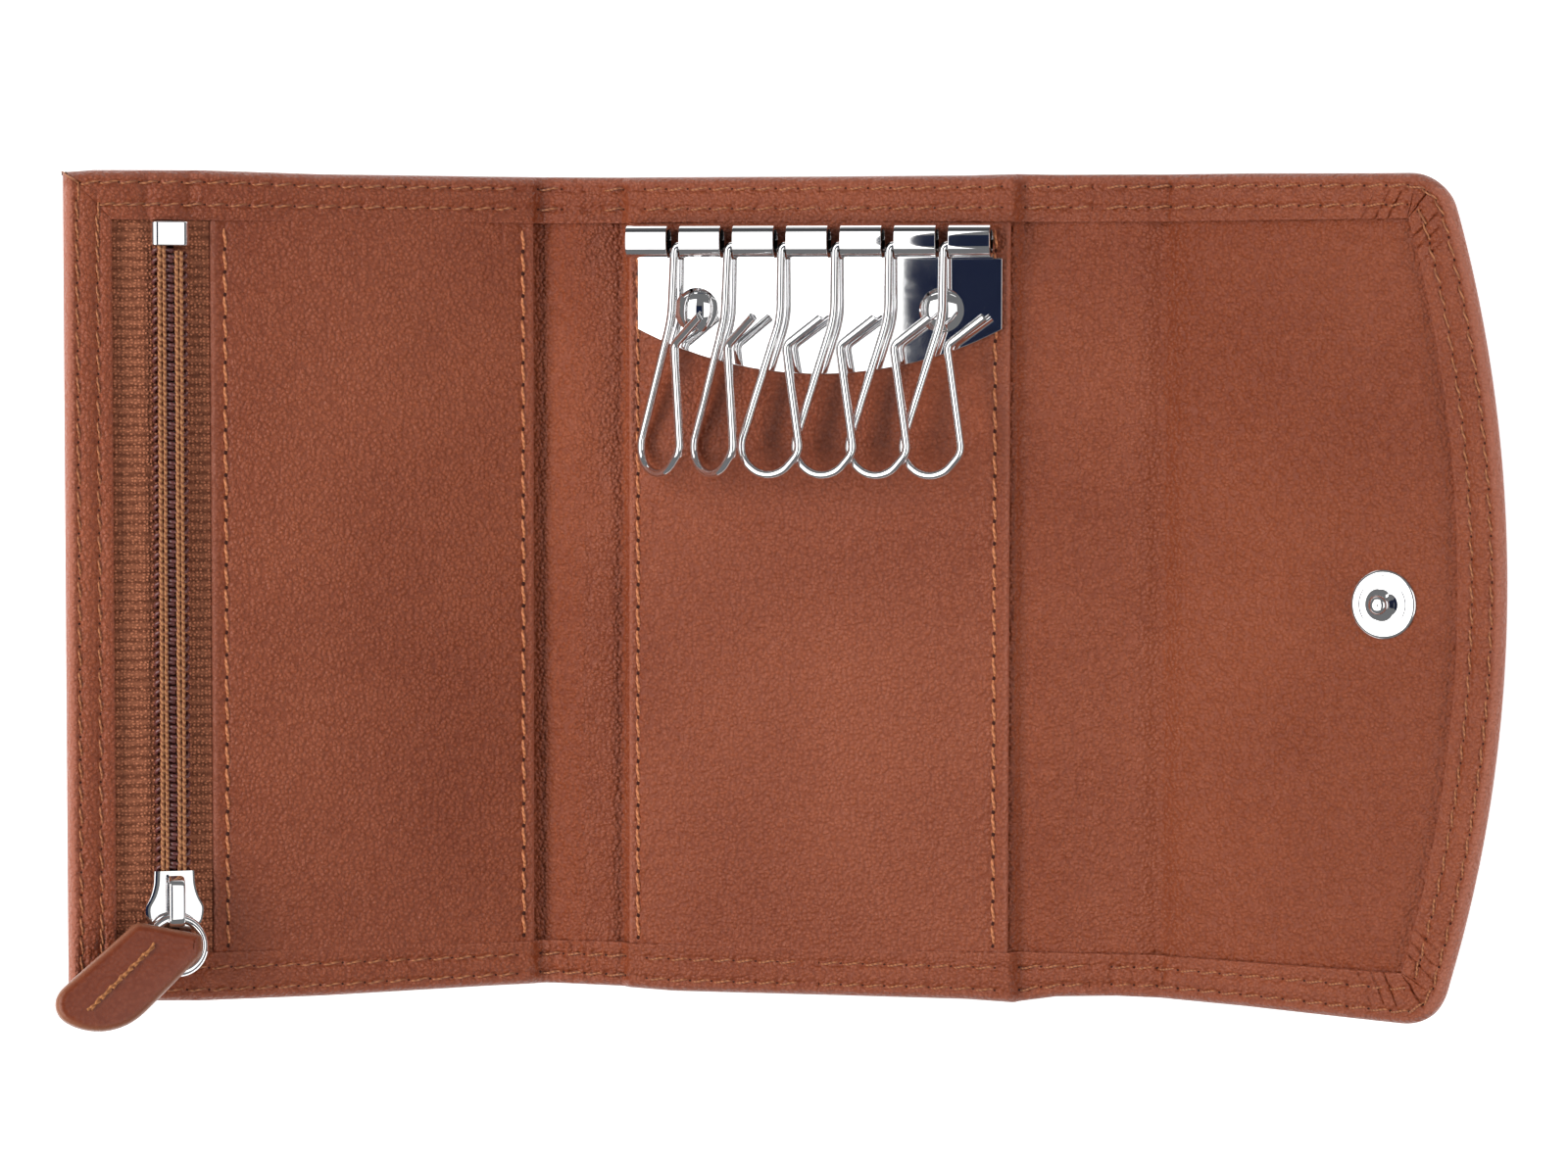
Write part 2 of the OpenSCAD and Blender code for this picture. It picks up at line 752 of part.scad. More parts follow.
module centre_pocket_panel() {
    x0 = fold_1_x + pocket_left_inset;
    x1 = fold_2_x - pocket_right_inset;
    color(case_brown) difference() {
        union() {
            sheet(x0, x1, hem_w + layer_gap, tape_z, pocket_t);
            sheet(x0, x1, cover_t + layer_gap, tape_z - slip_gap, tape_t + slip_gap);
        }
        sheet(x0 + rib_w, x1 + overrun, hem_w + rib_w, tape_z - slip_gap - overrun,
            slip_gap + overrun);
        rivet_places() cylinder(h = panel_h + plate_t, r = rivet_r + layer_gap);
    }
}

module barrel_section() {
    translate([barrel_y, barrel_z]) circle(barrel_d / 2);
    translate([barrel_y - plate_top, plate_z]) square([plate_top - plate_lap, plate_t]);
}

module key_plate() {
    barrel_l = hook_pitch - slot_w;
    color(bright) difference() {
        union() {
            for (i = [0:hook_count])
                translate([row_x + (i - hook_count / 2) * hook_pitch - barrel_l / 2, 0, 0])
                    rotate([90, 0, 90]) linear_extrude(barrel_l) barrel_section();
            translate([plate_x, barrel_y, plate_z]) linear_extrude(plate_t) intersection() {
                translate([-plate_w / 2, -plate_side - plate_bulge])
                    square([plate_w, plate_side + plate_bulge - plate_top]);
                translate([0, plate_arc_r - plate_side - plate_bulge]) circle(plate_arc_r);
            }
        }
        translate([row_x - hook_count * hook_pitch, barrel_y, barrel_z]) rotate([0, 90, 0])
            cylinder(h = 2 * hook_count * hook_pitch, r = bore_r);
        rivet_places() cylinder(h = panel_h + plate_t + overrun, r = rivet_r + layer_gap);
    }
}

module key_plate_rivets() {
    dome_r = (rivet_head_r * rivet_head_r + rivet_head_h * rivet_head_h) / (2 * rivet_head_h);
    color(bright) rivet_places() {
        translate([0, 0, cover_t]) cylinder(h = plate_z + plate_t - cover_t, r = rivet_r);
        translate([0, 0, plate_z + plate_t]) intersection() {
            cylinder(h = rivet_head_h, r = rivet_head_r);
            translate([0, 0, rivet_head_h - dome_r]) sphere(dome_r, $fn = dome_fn);
        }
    }
}

module rivet_washers() {
    color(bright) rivet_places() translate([0, 0, cover_t]) difference() {
        cylinder(h = washer_t, r = washer_r);
        translate([0, 0, -overrun]) cylinder(h = washer_t + 2 * overrun, r = rivet_r + layer_gap);
    }
}

// Key hooks, bent from round wire

function unit(v) = v / norm(v);
function heading(v) = atan2(v[1], v[0]);
function turn_at(a, b, c) = atan2(cross(b - a, c - b), (b - a) * (c - b));

// Places along a bent wire, each with its heading: one at each end, and a fan round each bend
function wire_stations(points, bends) = concat(
    [[points[0], heading(points[1] - points[0])]],
    [for (i = [1:len(points) - 2])
        let (
            before = unit(points[i] - points[i - 1]),
            turn = turn_at(points[i - 1], points[i], points[i + 1]),
            start = points[i] - before * bends[i] * tan(abs(turn) / 2),
            centre = start + [-before[1], before[0]] * sign(turn) * bends[i],
            steps = max(ceil(abs(turn) / bend_step), 1)
        )
        for (k = [0:steps])
            let (a = heading(before) + turn * k / steps)
                [centre + [sin(a), -cos(a)] * sign(turn) * bends[i], a]],
    [[points[len(points) - 1], heading(points[len(points) - 1] - points[len(points) - 2])]]
);

// A ring of points round the wire at one place, with the place turned about the hook's stem
function wire_ring(station, r, twist) = [
    for (j = [0:wire_sides - 1])
        let (
            a = (j + 0.5) * 360 / wire_sides + twist,
            x = station[0][0] - r * cos(a) * sin(station[1]),
            z = r * sin(a)
        )
        [
            x * cos(twist) + z * sin(twist),
            station[0][1] + r * cos(a) * cos(station[1]),
            z * cos(twist) - x * sin(twist)
        ]
];

module wire_skin(rings) {
    n = wire_sides;
    last = (len(rings) - 1) * n;
    polyhedron(
        points = [for (ring = rings) for (p = ring) p],
        faces = concat(
            [for (k = [0:len(rings) - 2], j = [0:n - 1])
                [k * n + j, (k + 1) * n + (j + 1) % n, k * n + (j + 1) % n]],
            [for (k = [0:len(rings) - 2], j = [0:n - 1])
                [k * n + j, (k + 1) * n + j, (k + 1) * n + (j + 1) % n]],
            [for (j = [1:n - 2]) [0, j, j + 1]],
            [for (j = [1:n - 2]) [last, last + j + 1, last + j]]
        )
    );
}

function hook_points(shares) = [for (p = shares) [p[0] * hook_w, -p[1] * hook_l]];

// The crossbar is a true cylinder; the bent rest of the wire starts inside it
module hook_wire(twist) {
    head = wire_stations(hook_points(head_shares), head_bend_shares * hook_w);
    loop = wire_stations(hook_points(loop_shares), loop_bend_shares * hook_w);
    bar_end = bar_end_share * hook_w;
    root = [[bar_root_share * hook_w, 0], head[0][1]];
    translate([bar_end, 0, 0]) rotate([0, 90, 0])
        cylinder(h = bar_share * hook_w - bar_end, r = wire_r);
    wire_skin(concat(
        [wire_ring(root, wire_r * root_share, 0)],
        [for (i = [1:len(head) - 1]) wire_ring(head[i], wire_r, 0)],
        [for (i = [1:len(loop) - 1]) wire_ring(loop[i], wire_r, twist)]
    ));
}

module key_hook(i) {
    clear = i <= clear_hooks;
    color(bright)
        translate([row_x + (i - (hook_count + 1) / 2) * hook_pitch, bar_y, bar_z])
            rotate([-hook_tilt, 0, 0]) rotate([0, 0, clear ? -clear_lean : 0])
                hook_wire(clear ? -clear_twist : -lapped_twist);
}

// Press stud, cap, socket, spring and eyelet

module stud_hole(r) {
    translate([stud_x, -stud_drop, -overrun]) cylinder(h = flap_h + 2 * overrun, r = r);
}

module socket_hole() {
    translate([socket_x, -stud_drop, -overrun])
        cylinder(h = bag_floor_z + overrun + layer_gap, r = socket_post_r + layer_gap);
}

module snap_stud() {
    color(bright) on_flap() translate([stud_x, -stud_drop, flap_face_z]) difference() {
        union() {
            cylinder(h = stud_flange_t, r = stud_r);
            cylinder(h = stud_flange_t + ball_r, r = neck_r);
            translate([0, 0, stud_flange_t + ball_r]) sphere(ball_r);
        }
        translate([0, 0, -overrun]) cylinder(h = post_seat + overrun, r = post_r + layer_gap);
    }
}

module stud_cap() {
    dome_r = (cap_r * cap_r + cap_h * cap_h) / (2 * cap_h);
    color(bright) on_flap() translate([stud_x, -stud_drop, 0]) {
        translate([0, 0, -cap_h]) intersection() {
            cylinder(h = cap_h, r = cap_r);
            translate([0, 0, dome_r]) sphere(dome_r, $fn = dome_fn);
        }
        cylinder(h = flap_face_z + post_seat, r = post_r);
    }
}

module snap_socket() {
    color(bright) on_left() translate([socket_x, -stud_drop, -socket_h]) difference() {
        cylinder(h = socket_h, r = stud_r);
        translate([0, 0, -overrun]) cylinder(h = socket_h + 2 * overrun, r = socket_mouth_r);
        translate([0, 0, groove_depth]) cylinder(h = groove_w, r = groove_r);
        translate([0, 0, socket_h - socket_post_seat])
            cylinder(h = socket_post_seat + overrun, r = socket_post_r + layer_gap);
        translate([0, 0, -overrun]) difference() {
            cylinder(h = overrun + stud_step_t, r = stud_r + overrun);
            cylinder(h = overrun + stud_step_t, r = stud_step_r);
        }
    }
}

module socket_spring() {
    color(bright) on_left()
        translate([socket_x, -stud_drop, groove_depth + groove_w / 2 - socket_h])
            rotate_extrude(angle = spring_angle) translate([spring_r, 0]) circle(spring_wire_r);
}

module socket_post() {
    color(bright) on_left() translate([socket_x, -stud_drop, -socket_post_seat]) difference() {
        union() {
            cylinder(h = socket_post_seat + bag_floor_z + socket_flange_t, r = socket_post_r);
            translate([0, 0, socket_post_seat + bag_floor_z])
                cylinder(h = socket_flange_t, r = socket_flange_r);
        }
        translate([0, 0, -overrun])
            cylinder(h = socket_post_seat + bag_floor_z + socket_flange_t + 2 * overrun,
                r = socket_post_r - socket_post_t);
    }
}

cover_left();
cover_spine_1();
cover_centre();
cover_spine_2();
cover_flap();
lining_spine_1();
lining_centre();
lining_spine_2();
lining_flap();
board_left();
board_centre();
board_flap();
left_pocket_panel();
zip_pocket_bag();
zip_tape_left();
zip_tape_right();
zip_coil_left();
zip_coil_right();
zip_bottom_stop();
zip_top_stops();
slider_body();
pull_ring();
pull_tab();
pull_tab_filler();
centre_pocket_panel();
key_plate();
key_plate_rivets();
rivet_washers();
key_hook(1);  // key_hook_1
key_hook(2);  // key_hook_2
key_hook(3);  // key_hook_3
key_hook(4);  // key_hook_4
key_hook(5);  // key_hook_5
key_hook(6);  // key_hook_6
snap_stud();
stud_cap();
snap_socket();
socket_spring();
socket_post();
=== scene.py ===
# %% [markdown]
# # An open leather key case
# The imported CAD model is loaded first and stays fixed. Every visible piece is then made round it:
# sewn leather with turned edges, a coil zip, bright metal parts and thread. Pieces are drawn in
# millimetres and become metres when a mesh is made; the lamps and boards are placed in metres.

# %% Load the frame
import math

import bpy
import numpy as np
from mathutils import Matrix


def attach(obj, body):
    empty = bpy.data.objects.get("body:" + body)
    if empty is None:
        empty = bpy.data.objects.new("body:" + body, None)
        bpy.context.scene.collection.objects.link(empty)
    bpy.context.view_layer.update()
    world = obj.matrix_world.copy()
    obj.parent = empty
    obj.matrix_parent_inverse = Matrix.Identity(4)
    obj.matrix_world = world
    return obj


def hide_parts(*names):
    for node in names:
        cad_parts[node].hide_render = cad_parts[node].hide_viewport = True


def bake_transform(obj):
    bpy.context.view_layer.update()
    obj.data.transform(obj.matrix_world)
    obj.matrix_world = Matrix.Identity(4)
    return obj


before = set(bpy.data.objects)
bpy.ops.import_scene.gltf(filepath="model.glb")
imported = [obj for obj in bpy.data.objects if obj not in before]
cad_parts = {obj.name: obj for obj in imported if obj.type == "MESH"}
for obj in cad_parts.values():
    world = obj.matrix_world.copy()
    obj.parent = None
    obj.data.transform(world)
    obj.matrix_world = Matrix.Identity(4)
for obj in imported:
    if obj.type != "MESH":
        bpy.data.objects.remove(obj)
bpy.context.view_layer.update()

MM = 0.001

# %% [markdown]
# ## The camera
# The photograph looks almost straight down, from a little to the right of the middle, through a long
# lens. The place and the turn were found by matching known points, such as the fold lines, the seven
# barrels, the press stud and the flap's edge, and a long lens keeps the perspective as weak as it is.

# %% Camera
CAMERA_PLACE = (93.2, 32.1, 580.0)
CAMERA_TURN = (-3.052, 9.65, 0.1)
LENS, FILM_W = 100, 36


def fresh(add, **settings):
    """Adds one new thing with nothing else selected, and hands it back."""
    bpy.ops.object.select_all(action="DESELECT")
    add(**settings)
    return bpy.context.object


camera = fresh(
    bpy.ops.object.camera_add, location=[c * MM for c in CAMERA_PLACE], rotation=[math.radians(a) for a in CAMERA_TURN]
)
camera.data.lens, camera.data.sensor_width = LENS, FILM_W
camera.data.clip_start = 0.01
bpy.context.scene.camera = camera
bpy.context.scene.view_settings.view_transform = "Standard"

# %% [markdown]
# ## The case unrolled
# A folded case is easiest to draw flat. Here s runs across the unrolled case, y along its folds and
# z out of its inside. `lay` then lifts the left panel and the flap about their fold lines, and bends
# the leather over a short width there, as real leather does.

# %% Sizes of the case and its folds
HALF_H = 55
FOLD_1A, FOLD_1B = -26.5, -38.8
FOLD_2A, FOLD_2B = 26.5, 46.4
LEFT_EDGE = FOLD_1B - 63.3
FLAP_EDGE = FOLD_2B + 46.9
MID_SPINE_1 = (FOLD_1A + FOLD_1B) / 2
MID_SPINE_2 = (FOLD_2A + FOLD_2B) / 2
LEFT_REST, FLAP_REST = math.radians(25), math.radians(19)
PANEL_H, SPINE_H, FLAP_H = 3.5, 2.1, 2.6
POCKET_H = 3.1
HEM_W = 6.2
BEND = 1.2


def ease(x, start, end):
    """0 before start, 1 after end, and a smooth slope between them."""
    t = np.clip((x - start) / (end - start), 0, 1)
    return t * t * (3 - 2 * t)


def bump(x, middle, width):
    return np.exp(-(((x - middle) / width) ** 2))


def turn(points, pivot_x, pivot_z, angle):
    dx, dz = points[..., 0] - pivot_x, points[..., 2] - pivot_z
    out = np.array(points, float)
    out[..., 0] = pivot_x + dx * np.cos(angle) + dz * np.sin(angle)
    out[..., 2] = pivot_z - dx * np.sin(angle) + dz * np.cos(angle)
    return out


def lay(points):
    """Takes points of the unrolled case to where they are as the case lies open."""
    s = points[..., 0]
    left = turn(points, FOLD_1B, PANEL_H, LEFT_REST * ease(-s, -FOLD_1B - BEND, -FOLD_1B + BEND))
    return turn(left, FOLD_2B, FLAP_H, -FLAP_REST * ease(s, FOLD_2B - BEND, FOLD_2B + BEND))


def level(s, panel, spine_1, centre, spine_2, flap):
    """A height that changes from length to length, eased over each fold."""
    z = panel + (spine_1 - panel) * ease(s, FOLD_1B - 0.5, FOLD_1B + 0.9)
    z = z + (centre - spine_1) * ease(s, FOLD_1A - 0.9, FOLD_1A + 0.5)
    z = z + (spine_2 - centre) * ease(s, FOLD_2A - 0.5, FOLD_2A + 0.9)
    return z + (flap - spine_2) * ease(s, FOLD_2B - 0.9, FOLD_2B + 0.5)


def hem_level(s):
    return level(s, PANEL_H, SPINE_H, PANEL_H, SPINE_H, FLAP_H)

# %% [markdown]
# ## Tools for making pieces
# A grid primitive is the start of every sheet, strip and tube: its points are put where a drawn
# surface wants them, its doubles are merged and its ends are filled, so that each piece is a closed
# skin with its faces pointing out. Its UV map keeps real millimetres, which woven finishes read.

# %% Points and selections
def unit(rows):
    return rows / np.linalg.norm(rows, axis=1)[:, None]


def run_along(points):
    """The distance run along a line of points, from its start."""
    return np.concatenate([[0], np.cumsum(np.linalg.norm(np.diff(points, axis=0), axis=1))])


def read_points(obj):
    co = np.empty(len(obj.data.vertices) * 3)
    obj.data.vertices.foreach_get("co", co)
    return co.reshape(-1, 3)


def write_points(obj, millimetres):
    obj.data.vertices.foreach_set("co", (millimetres * MM).ravel())
    obj.data.update()
    return obj


def only(obj):
    bpy.ops.object.select_all(action="DESELECT")
    obj.select_set(True)
    bpy.context.view_layer.objects.active = obj


def smooth(obj, degrees=40):
    only(obj)
    bpy.ops.object.shade_smooth_by_angle(angle=math.radians(degrees))
    return obj


def close_skin(obj):
    """Merges doubles, fills open ends and points all faces outwards."""
    only(obj)
    bpy.ops.object.mode_set(mode="EDIT")
    bpy.ops.mesh.select_all(action="SELECT")
    bpy.ops.mesh.remove_doubles(threshold=2e-7)
    bpy.ops.mesh.select_mode(type="EDGE")
    bpy.ops.mesh.select_all(action="DESELECT")
    bpy.ops.mesh.select_non_manifold(
        extend=False, use_multi_face=False, use_non_contiguous=False, use_verts=False
    )
    bpy.ops.mesh.edge_face_add()
    bpy.ops.mesh.select_mode(type="VERT")
    bpy.ops.mesh.select_all(action="SELECT")
    bpy.ops.mesh.normals_make_consistent(inside=False)
    bpy.ops.object.mode_set(mode="OBJECT")
    return obj

# %% Grids, tubes and turned pieces
def grid_piece(name, points, values=None, sharp=40):
    """A closed skin from points[u][v] in millimetres, with an optional value for each point."""
    nu, nv = points.shape[:2]
    obj = fresh(bpy.ops.mesh.primitive_grid_add, x_subdivisions=nu - 1, y_subdivisions=nv - 1, size=2)
    obj.name = obj.data.name = name
    iu, iv, _ = np.rint((read_points(obj) + 1) / 2 * (nu - 1, nv - 1, 0)).astype(int).T
    write_points(obj, points[iu, iv])
    uv = np.empty(len(obj.data.loops) * 2)
    layer = obj.data.uv_layers[0].data
    layer.foreach_get("uv", uv)
    run_u = np.linalg.norm(np.diff(points[:, nv // 2], axis=0), axis=1).sum()
    run_v = np.linalg.norm(np.diff(points[nu // 2], axis=0), axis=1).sum()
    layer.foreach_set("uv", (uv.reshape(-1, 2) * (run_u, run_v)).ravel())
    if values is not None:
        edge = obj.data.attributes.new("edge", "FLOAT", "POINT")
        edge.data.foreach_set("value", values[iu, iv].astype(np.float32))
    close_skin(obj)
    return smooth(obj, sharp)


def tube(name, path, radii, sides=12, side=None, sharp=60):
    """A round wire along a path; side is the direction that its rings are lined up by."""
    path = np.array(path, float)
    along = unit(np.gradient(path, axis=0))
    width = np.cross(along, (0, 0, 1)) if side is None else np.cross(np.cross(along, side), along)
    width = unit(width)
    height = np.cross(width, along)
    a = np.linspace(0, 2 * math.pi, sides + 1)
    radii = np.broadcast_to(radii, len(path))[:, None, None]
    ring = width[:, None] * np.cos(a)[None, :, None] + height[:, None] * np.sin(a)[None, :, None]
    return grid_piece(name, path[:, None] + radii * ring, sharp=sharp)


def lathe(name, profile, steps=64, sharp=35):
    """A turned piece from (radius, height) points, standing on the origin."""
    a = np.linspace(0, 2 * math.pi, steps + 1)
    r, z = np.array(profile, float).T
    points = np.stack([r * np.cos(a)[:, None], r * np.sin(a)[:, None], z + 0 * a[:, None]], axis=2)
    return grid_piece(name, points, sharp=sharp)

# %% Plates and rounding
def prism(name, outline, low, high, round_r=0.0, segments=3, sharp=35):
    """A plate of any outline: a filled circle takes the outline's shape, is extruded and bevelled."""
    obj = fresh(bpy.ops.mesh.primitive_circle_add, vertices=len(outline), fill_type="NGON")
    obj.name = obj.data.name = name
    for vertex, (x, y) in zip(obj.data.vertices, outline):
        vertex.co = (x * MM, y * MM, low * MM)
    bpy.ops.object.mode_set(mode="EDIT")
    bpy.ops.mesh.select_all(action="SELECT")
    bpy.ops.mesh.extrude_region_move(TRANSFORM_OT_translate={"value": (0, 0, (high - low) * MM)})
    bpy.ops.mesh.select_all(action="SELECT")
    bpy.ops.mesh.normals_make_consistent(inside=False)
    bpy.ops.object.mode_set(mode="OBJECT")
    if round_r:
        soften(obj, round_r, segments)
    return even_shading(smooth(obj, sharp))


def even_shading(obj):
    """Lets the large faces rule the shading, so that flat metal mirrors as a flat."""
    only(obj)
    obj.modifiers.new("Weighted", "WEIGHTED_NORMAL").keep_sharp = True
    bpy.ops.object.modifier_apply(modifier="Weighted")
    return obj


def soften(obj, width, segments=3, angle=35):
    """Rounds the sharp edges of a piece."""
    only(obj)
    bevel = obj.modifiers.new("Bevel", "BEVEL")
    bevel.width, bevel.segments = width * MM, segments
    bevel.limit_method, bevel.angle_limit = "ANGLE", math.radians(angle)
    bpy.ops.object.modifier_apply(modifier="Bevel")
    return obj

# %% Moving, joining and copying
def move_points(obj, change):
    """Puts every point of a piece through a function of millimetres."""
    return write_points(obj, change(read_points(obj) / MM))


def join(name, parts):
    only(parts[0])
    for part in parts[1:]:
        part.select_set(True)
    bpy.ops.object.join()
    parts[0].name = parts[0].data.name = name
    return parts[0]


def scatter(name, base, origins, x_axes, y_axes, z_axes, sharp=60):
    """Copies a small piece to many places; each copy has its own axes."""
    co = read_points(base) / MM
    spots = origins[:, None]
    for k, axes in enumerate((x_axes, y_axes, z_axes)):
        spots = spots + co[None, :, k:k + 1] * axes[:, None]
    faces = [tuple(p.vertices) for p in base.data.polygons]
    every = [tuple(v + k * len(co) for v in f) for k in range(len(origins)) for f in faces]
    mesh = bpy.data.meshes.new(name)
    mesh.from_pydata((spots.reshape(-1, 3) * MM).tolist(), [], every)
    obj = bpy.data.objects.new(name, mesh)
    bpy.context.scene.collection.objects.link(obj)
    bpy.data.objects.remove(base)
    return smooth(obj, sharp)

# %% [markdown]
# ## Finishes
# Calf leather has a fine pebble of pores, wide soft clouds of lighter and darker dye, and turns a
# little paler and pinker where it is stretched round an edge; the same paler colour on rolled edges and
# rims is also a painted highlight. The grain is one node group that every leather uses at its own
# strength. A picture of leather would be quicker, but it would repeat and stretch. The finishes read
# Object coordinates; only the tape's weave reads the piece's UV map, which is in millimetres, so that
# its ribs run straight across.

# %% Node helpers
def linear(r, g, b):
    """A colour as seen on a screen, from 0 to 255, as the shader wants it."""
    return tuple(((c / 255 + 0.055) / 1.055) ** 2.4 for c in (r, g, b))


def mixed(tree, factor, first, second):
    """A mix of two colours, each a socket or three screen values."""
    node = tree.nodes.new("ShaderNodeMix")
    node.data_type = "RGBA"
    tree.links.new(factor, node.inputs[0])
    for socket, value in ((node.inputs[6], first), (node.inputs[7], second)):
        if isinstance(value, tuple):
            socket.default_value = (*linear(*value), 1)
        else:
            tree.links.new(value, socket)
    return node.outputs[2]


def texture(tree, kind, vector, **values):
    """A texture node that is read at a vector, with its number sockets set by name."""
    node = tree.nodes.new(f"ShaderNodeTex{kind}")
    for key, value in values.items():
        node.inputs[key.replace("_", " ")].default_value = value
    tree.links.new(vector, node.inputs["Vector"])
    return node


def noise(tree, vector, scale, detail=3.0, roughness=0.5):
    return texture(tree, "Noise", vector, Scale=scale, Detail=detail, Roughness=roughness).outputs["Fac"]


def spread(tree, value, low, high, to_low=0.0, to_high=1.0):
    node = tree.nodes.new("ShaderNodeMapRange")
    for k, v in zip(("From Min", "From Max", "To Min", "To Max"), (low, high, to_low, to_high)):
        node.inputs[k].default_value = v
    tree.links.new(value, node.inputs["Value"])
    return node.outputs["Result"]


def maths(tree, operation, first, second):
    node = tree.nodes.new("ShaderNodeMath")
    node.operation = operation
    for socket, value in zip(node.inputs, (first, second)):
        if isinstance(value, (int, float)):
            socket.default_value = value
        else:
            tree.links.new(value, socket)
    return node.outputs[0]


def total(tree, *parts):
    """The sum of values, each times its share."""
    result = None
    for value, share in parts:
        term = maths(tree, "MULTIPLY", value, share)
        result = maths(tree, "ADD", result, term) if result else term
    return result

# %% The grain group
def leather_grain():
    """Group: pores and creases as a height, and clouds of dye as a tone."""
    group = bpy.data.node_groups.new("Leather grain", "ShaderNodeTree")
    group.interface.new_socket("Vector", in_out="INPUT", socket_type="NodeSocketVector")
    group.interface.new_socket("Height", in_out="OUTPUT", socket_type="NodeSocketFloat")
    group.interface.new_socket("Tone", in_out="OUTPUT", socket_type="NodeSocketFloat")
    start, end = group.nodes.new("NodeGroupInput"), group.nodes.new("NodeGroupOutput")
    vector = start.outputs["Vector"]
    pores = texture(group, "Voronoi", vector, Scale=1900)
    pebble = spread(group, pores.outputs["Distance"], 0.75, 0.0)
    fine = noise(group, vector, 4200, 2.0)
    creases = noise(group, vector, 620, 4.0, 0.6)
    height = total(group, (pebble, 0.6), (fine, 0.35), (creases, 0.7))
    clouds = spread(group, noise(group, vector, 28, 3.0), 0.3, 0.7)
    speckle = spread(group, noise(group, vector, 900, 2.0), 0.25, 0.75)
    tone = total(group, (clouds, 0.35), (speckle, 0.25), (pebble, 0.5))
    group.links.new(height, end.inputs["Height"])
    group.links.new(tone, end.inputs["Tone"])
    return group


GRAIN = leather_grain()


def blank(name):
    mat = bpy.data.materials.new(name)
    mat.use_nodes = True
    tree = mat.node_tree
    shader = tree.nodes["Principled BSDF"]
    coords = tree.nodes.new("ShaderNodeTexCoord")
    return mat, tree, shader, coords


def feed(tree, shader, **values):
    """Links or sets the shader's sockets by name."""
    for key, value in values.items():
        socket = shader.inputs[key.replace("_", " ")]
        if isinstance(value, bpy.types.NodeSocket):
            tree.links.new(value, socket)
        else:
            socket.default_value = value


def bumped(tree, shader, height, strength, depth):
    node = tree.nodes.new("ShaderNodeBump")
    node.inputs["Strength"].default_value = strength
    node.inputs["Distance"].default_value = depth * MM
    tree.links.new(height, node.inputs["Height"])
    tree.links.new(node.outputs["Normal"], shader.inputs["Normal"])

# %% Leather
def leather(name, dark, pale, edge, rough=(0.3, 0.42), strength=0.9, depth=0.32):
    mat, tree, shader, coords = blank(name)
    grain = tree.nodes.new("ShaderNodeGroup")
    grain.node_tree = GRAIN
    tree.links.new(coords.outputs["Object"], grain.inputs["Vector"])
    tone = grain.outputs["Tone"]
    # The edge value makes the leather paler and pinker: stretched leather and edge paint, and on rolled edges and rims
    # also a painted highlight.
    edge_tint_and_highlight = tree.nodes.new("ShaderNodeAttribute")
    edge_tint_and_highlight.attribute_name = "edge"
    colour = mixed(tree, edge_tint_and_highlight.outputs["Fac"], mixed(tree, tone, dark, pale), edge)
    feed(tree, shader, Base_Color=colour, Roughness=spread(tree, tone, 0, 1, rough[1], rough[0]))
    bumped(tree, shader, grain.outputs["Height"], strength, depth)
    return mat


# The third colour of each leather is its edge colour, partly a painted highlight on the calf's rolled edges and rims.
CALF = leather("Calf leather", (108, 43, 17), (160, 85, 54), (176, 108, 86))
LINING = leather("Lining leather", (109, 43, 17), (160, 85, 54), (172, 104, 82), (0.31, 0.43), depth=0.42)
GLAZED = leather("Glazed pull leather", (102, 39, 14), (132, 62, 34), (150, 98, 74), (0.22, 0.32), 0.4, 0.06)

# %% [markdown]
# ## Metal, thread, tape and coil
# Plated metal is almost a mirror: what it shows comes from the room, so its finish only adds faint
# polishing marks. Sewing thread is a glossy twist, the tape a soft rib weave, and the coil a smooth
# plastic filament. Thread and tape are coloured darker in the low grooves of their twist and weave,
# as painted shade, and paler on the raised strands, as painted highlight.

# %% Metal and thread
def metal(name, colour, rough=(0.012, 0.035)):
    mat, tree, shader, coords = blank(name)
    marks = noise(tree, coords.outputs["Object"], 350, 4.0, 0.6)
    paler = tuple(min(c + 8, 255) for c in colour)
    gloss = spread(tree, marks, 0.3, 0.7, *rough)
    feed(tree, shader, Base_Color=mixed(tree, marks, colour, paler), Metallic=1, Roughness=gloss)
    bumped(tree, shader, marks, 0.006, 0.05)
    return mat


def thread(name, dark, pale):
    mat, tree, shader, coords = blank(name)
    strands = texture(tree, "Wave", coords.outputs["Object"], Scale=900, Distortion=2)
    strands.bands_direction = "DIAGONAL"
    # Painted shade and highlight: the colour follows the twist's height, darker in its grooves and paler on its
    # strands.
    colour = mixed(tree, strands.outputs["Fac"], dark, pale)
    feed(tree, shader, Base_Color=colour, Roughness=0.5, Sheen_Weight=0.2)
    bumped(tree, shader, strands.outputs["Fac"], 0.5, 0.05)
    return mat

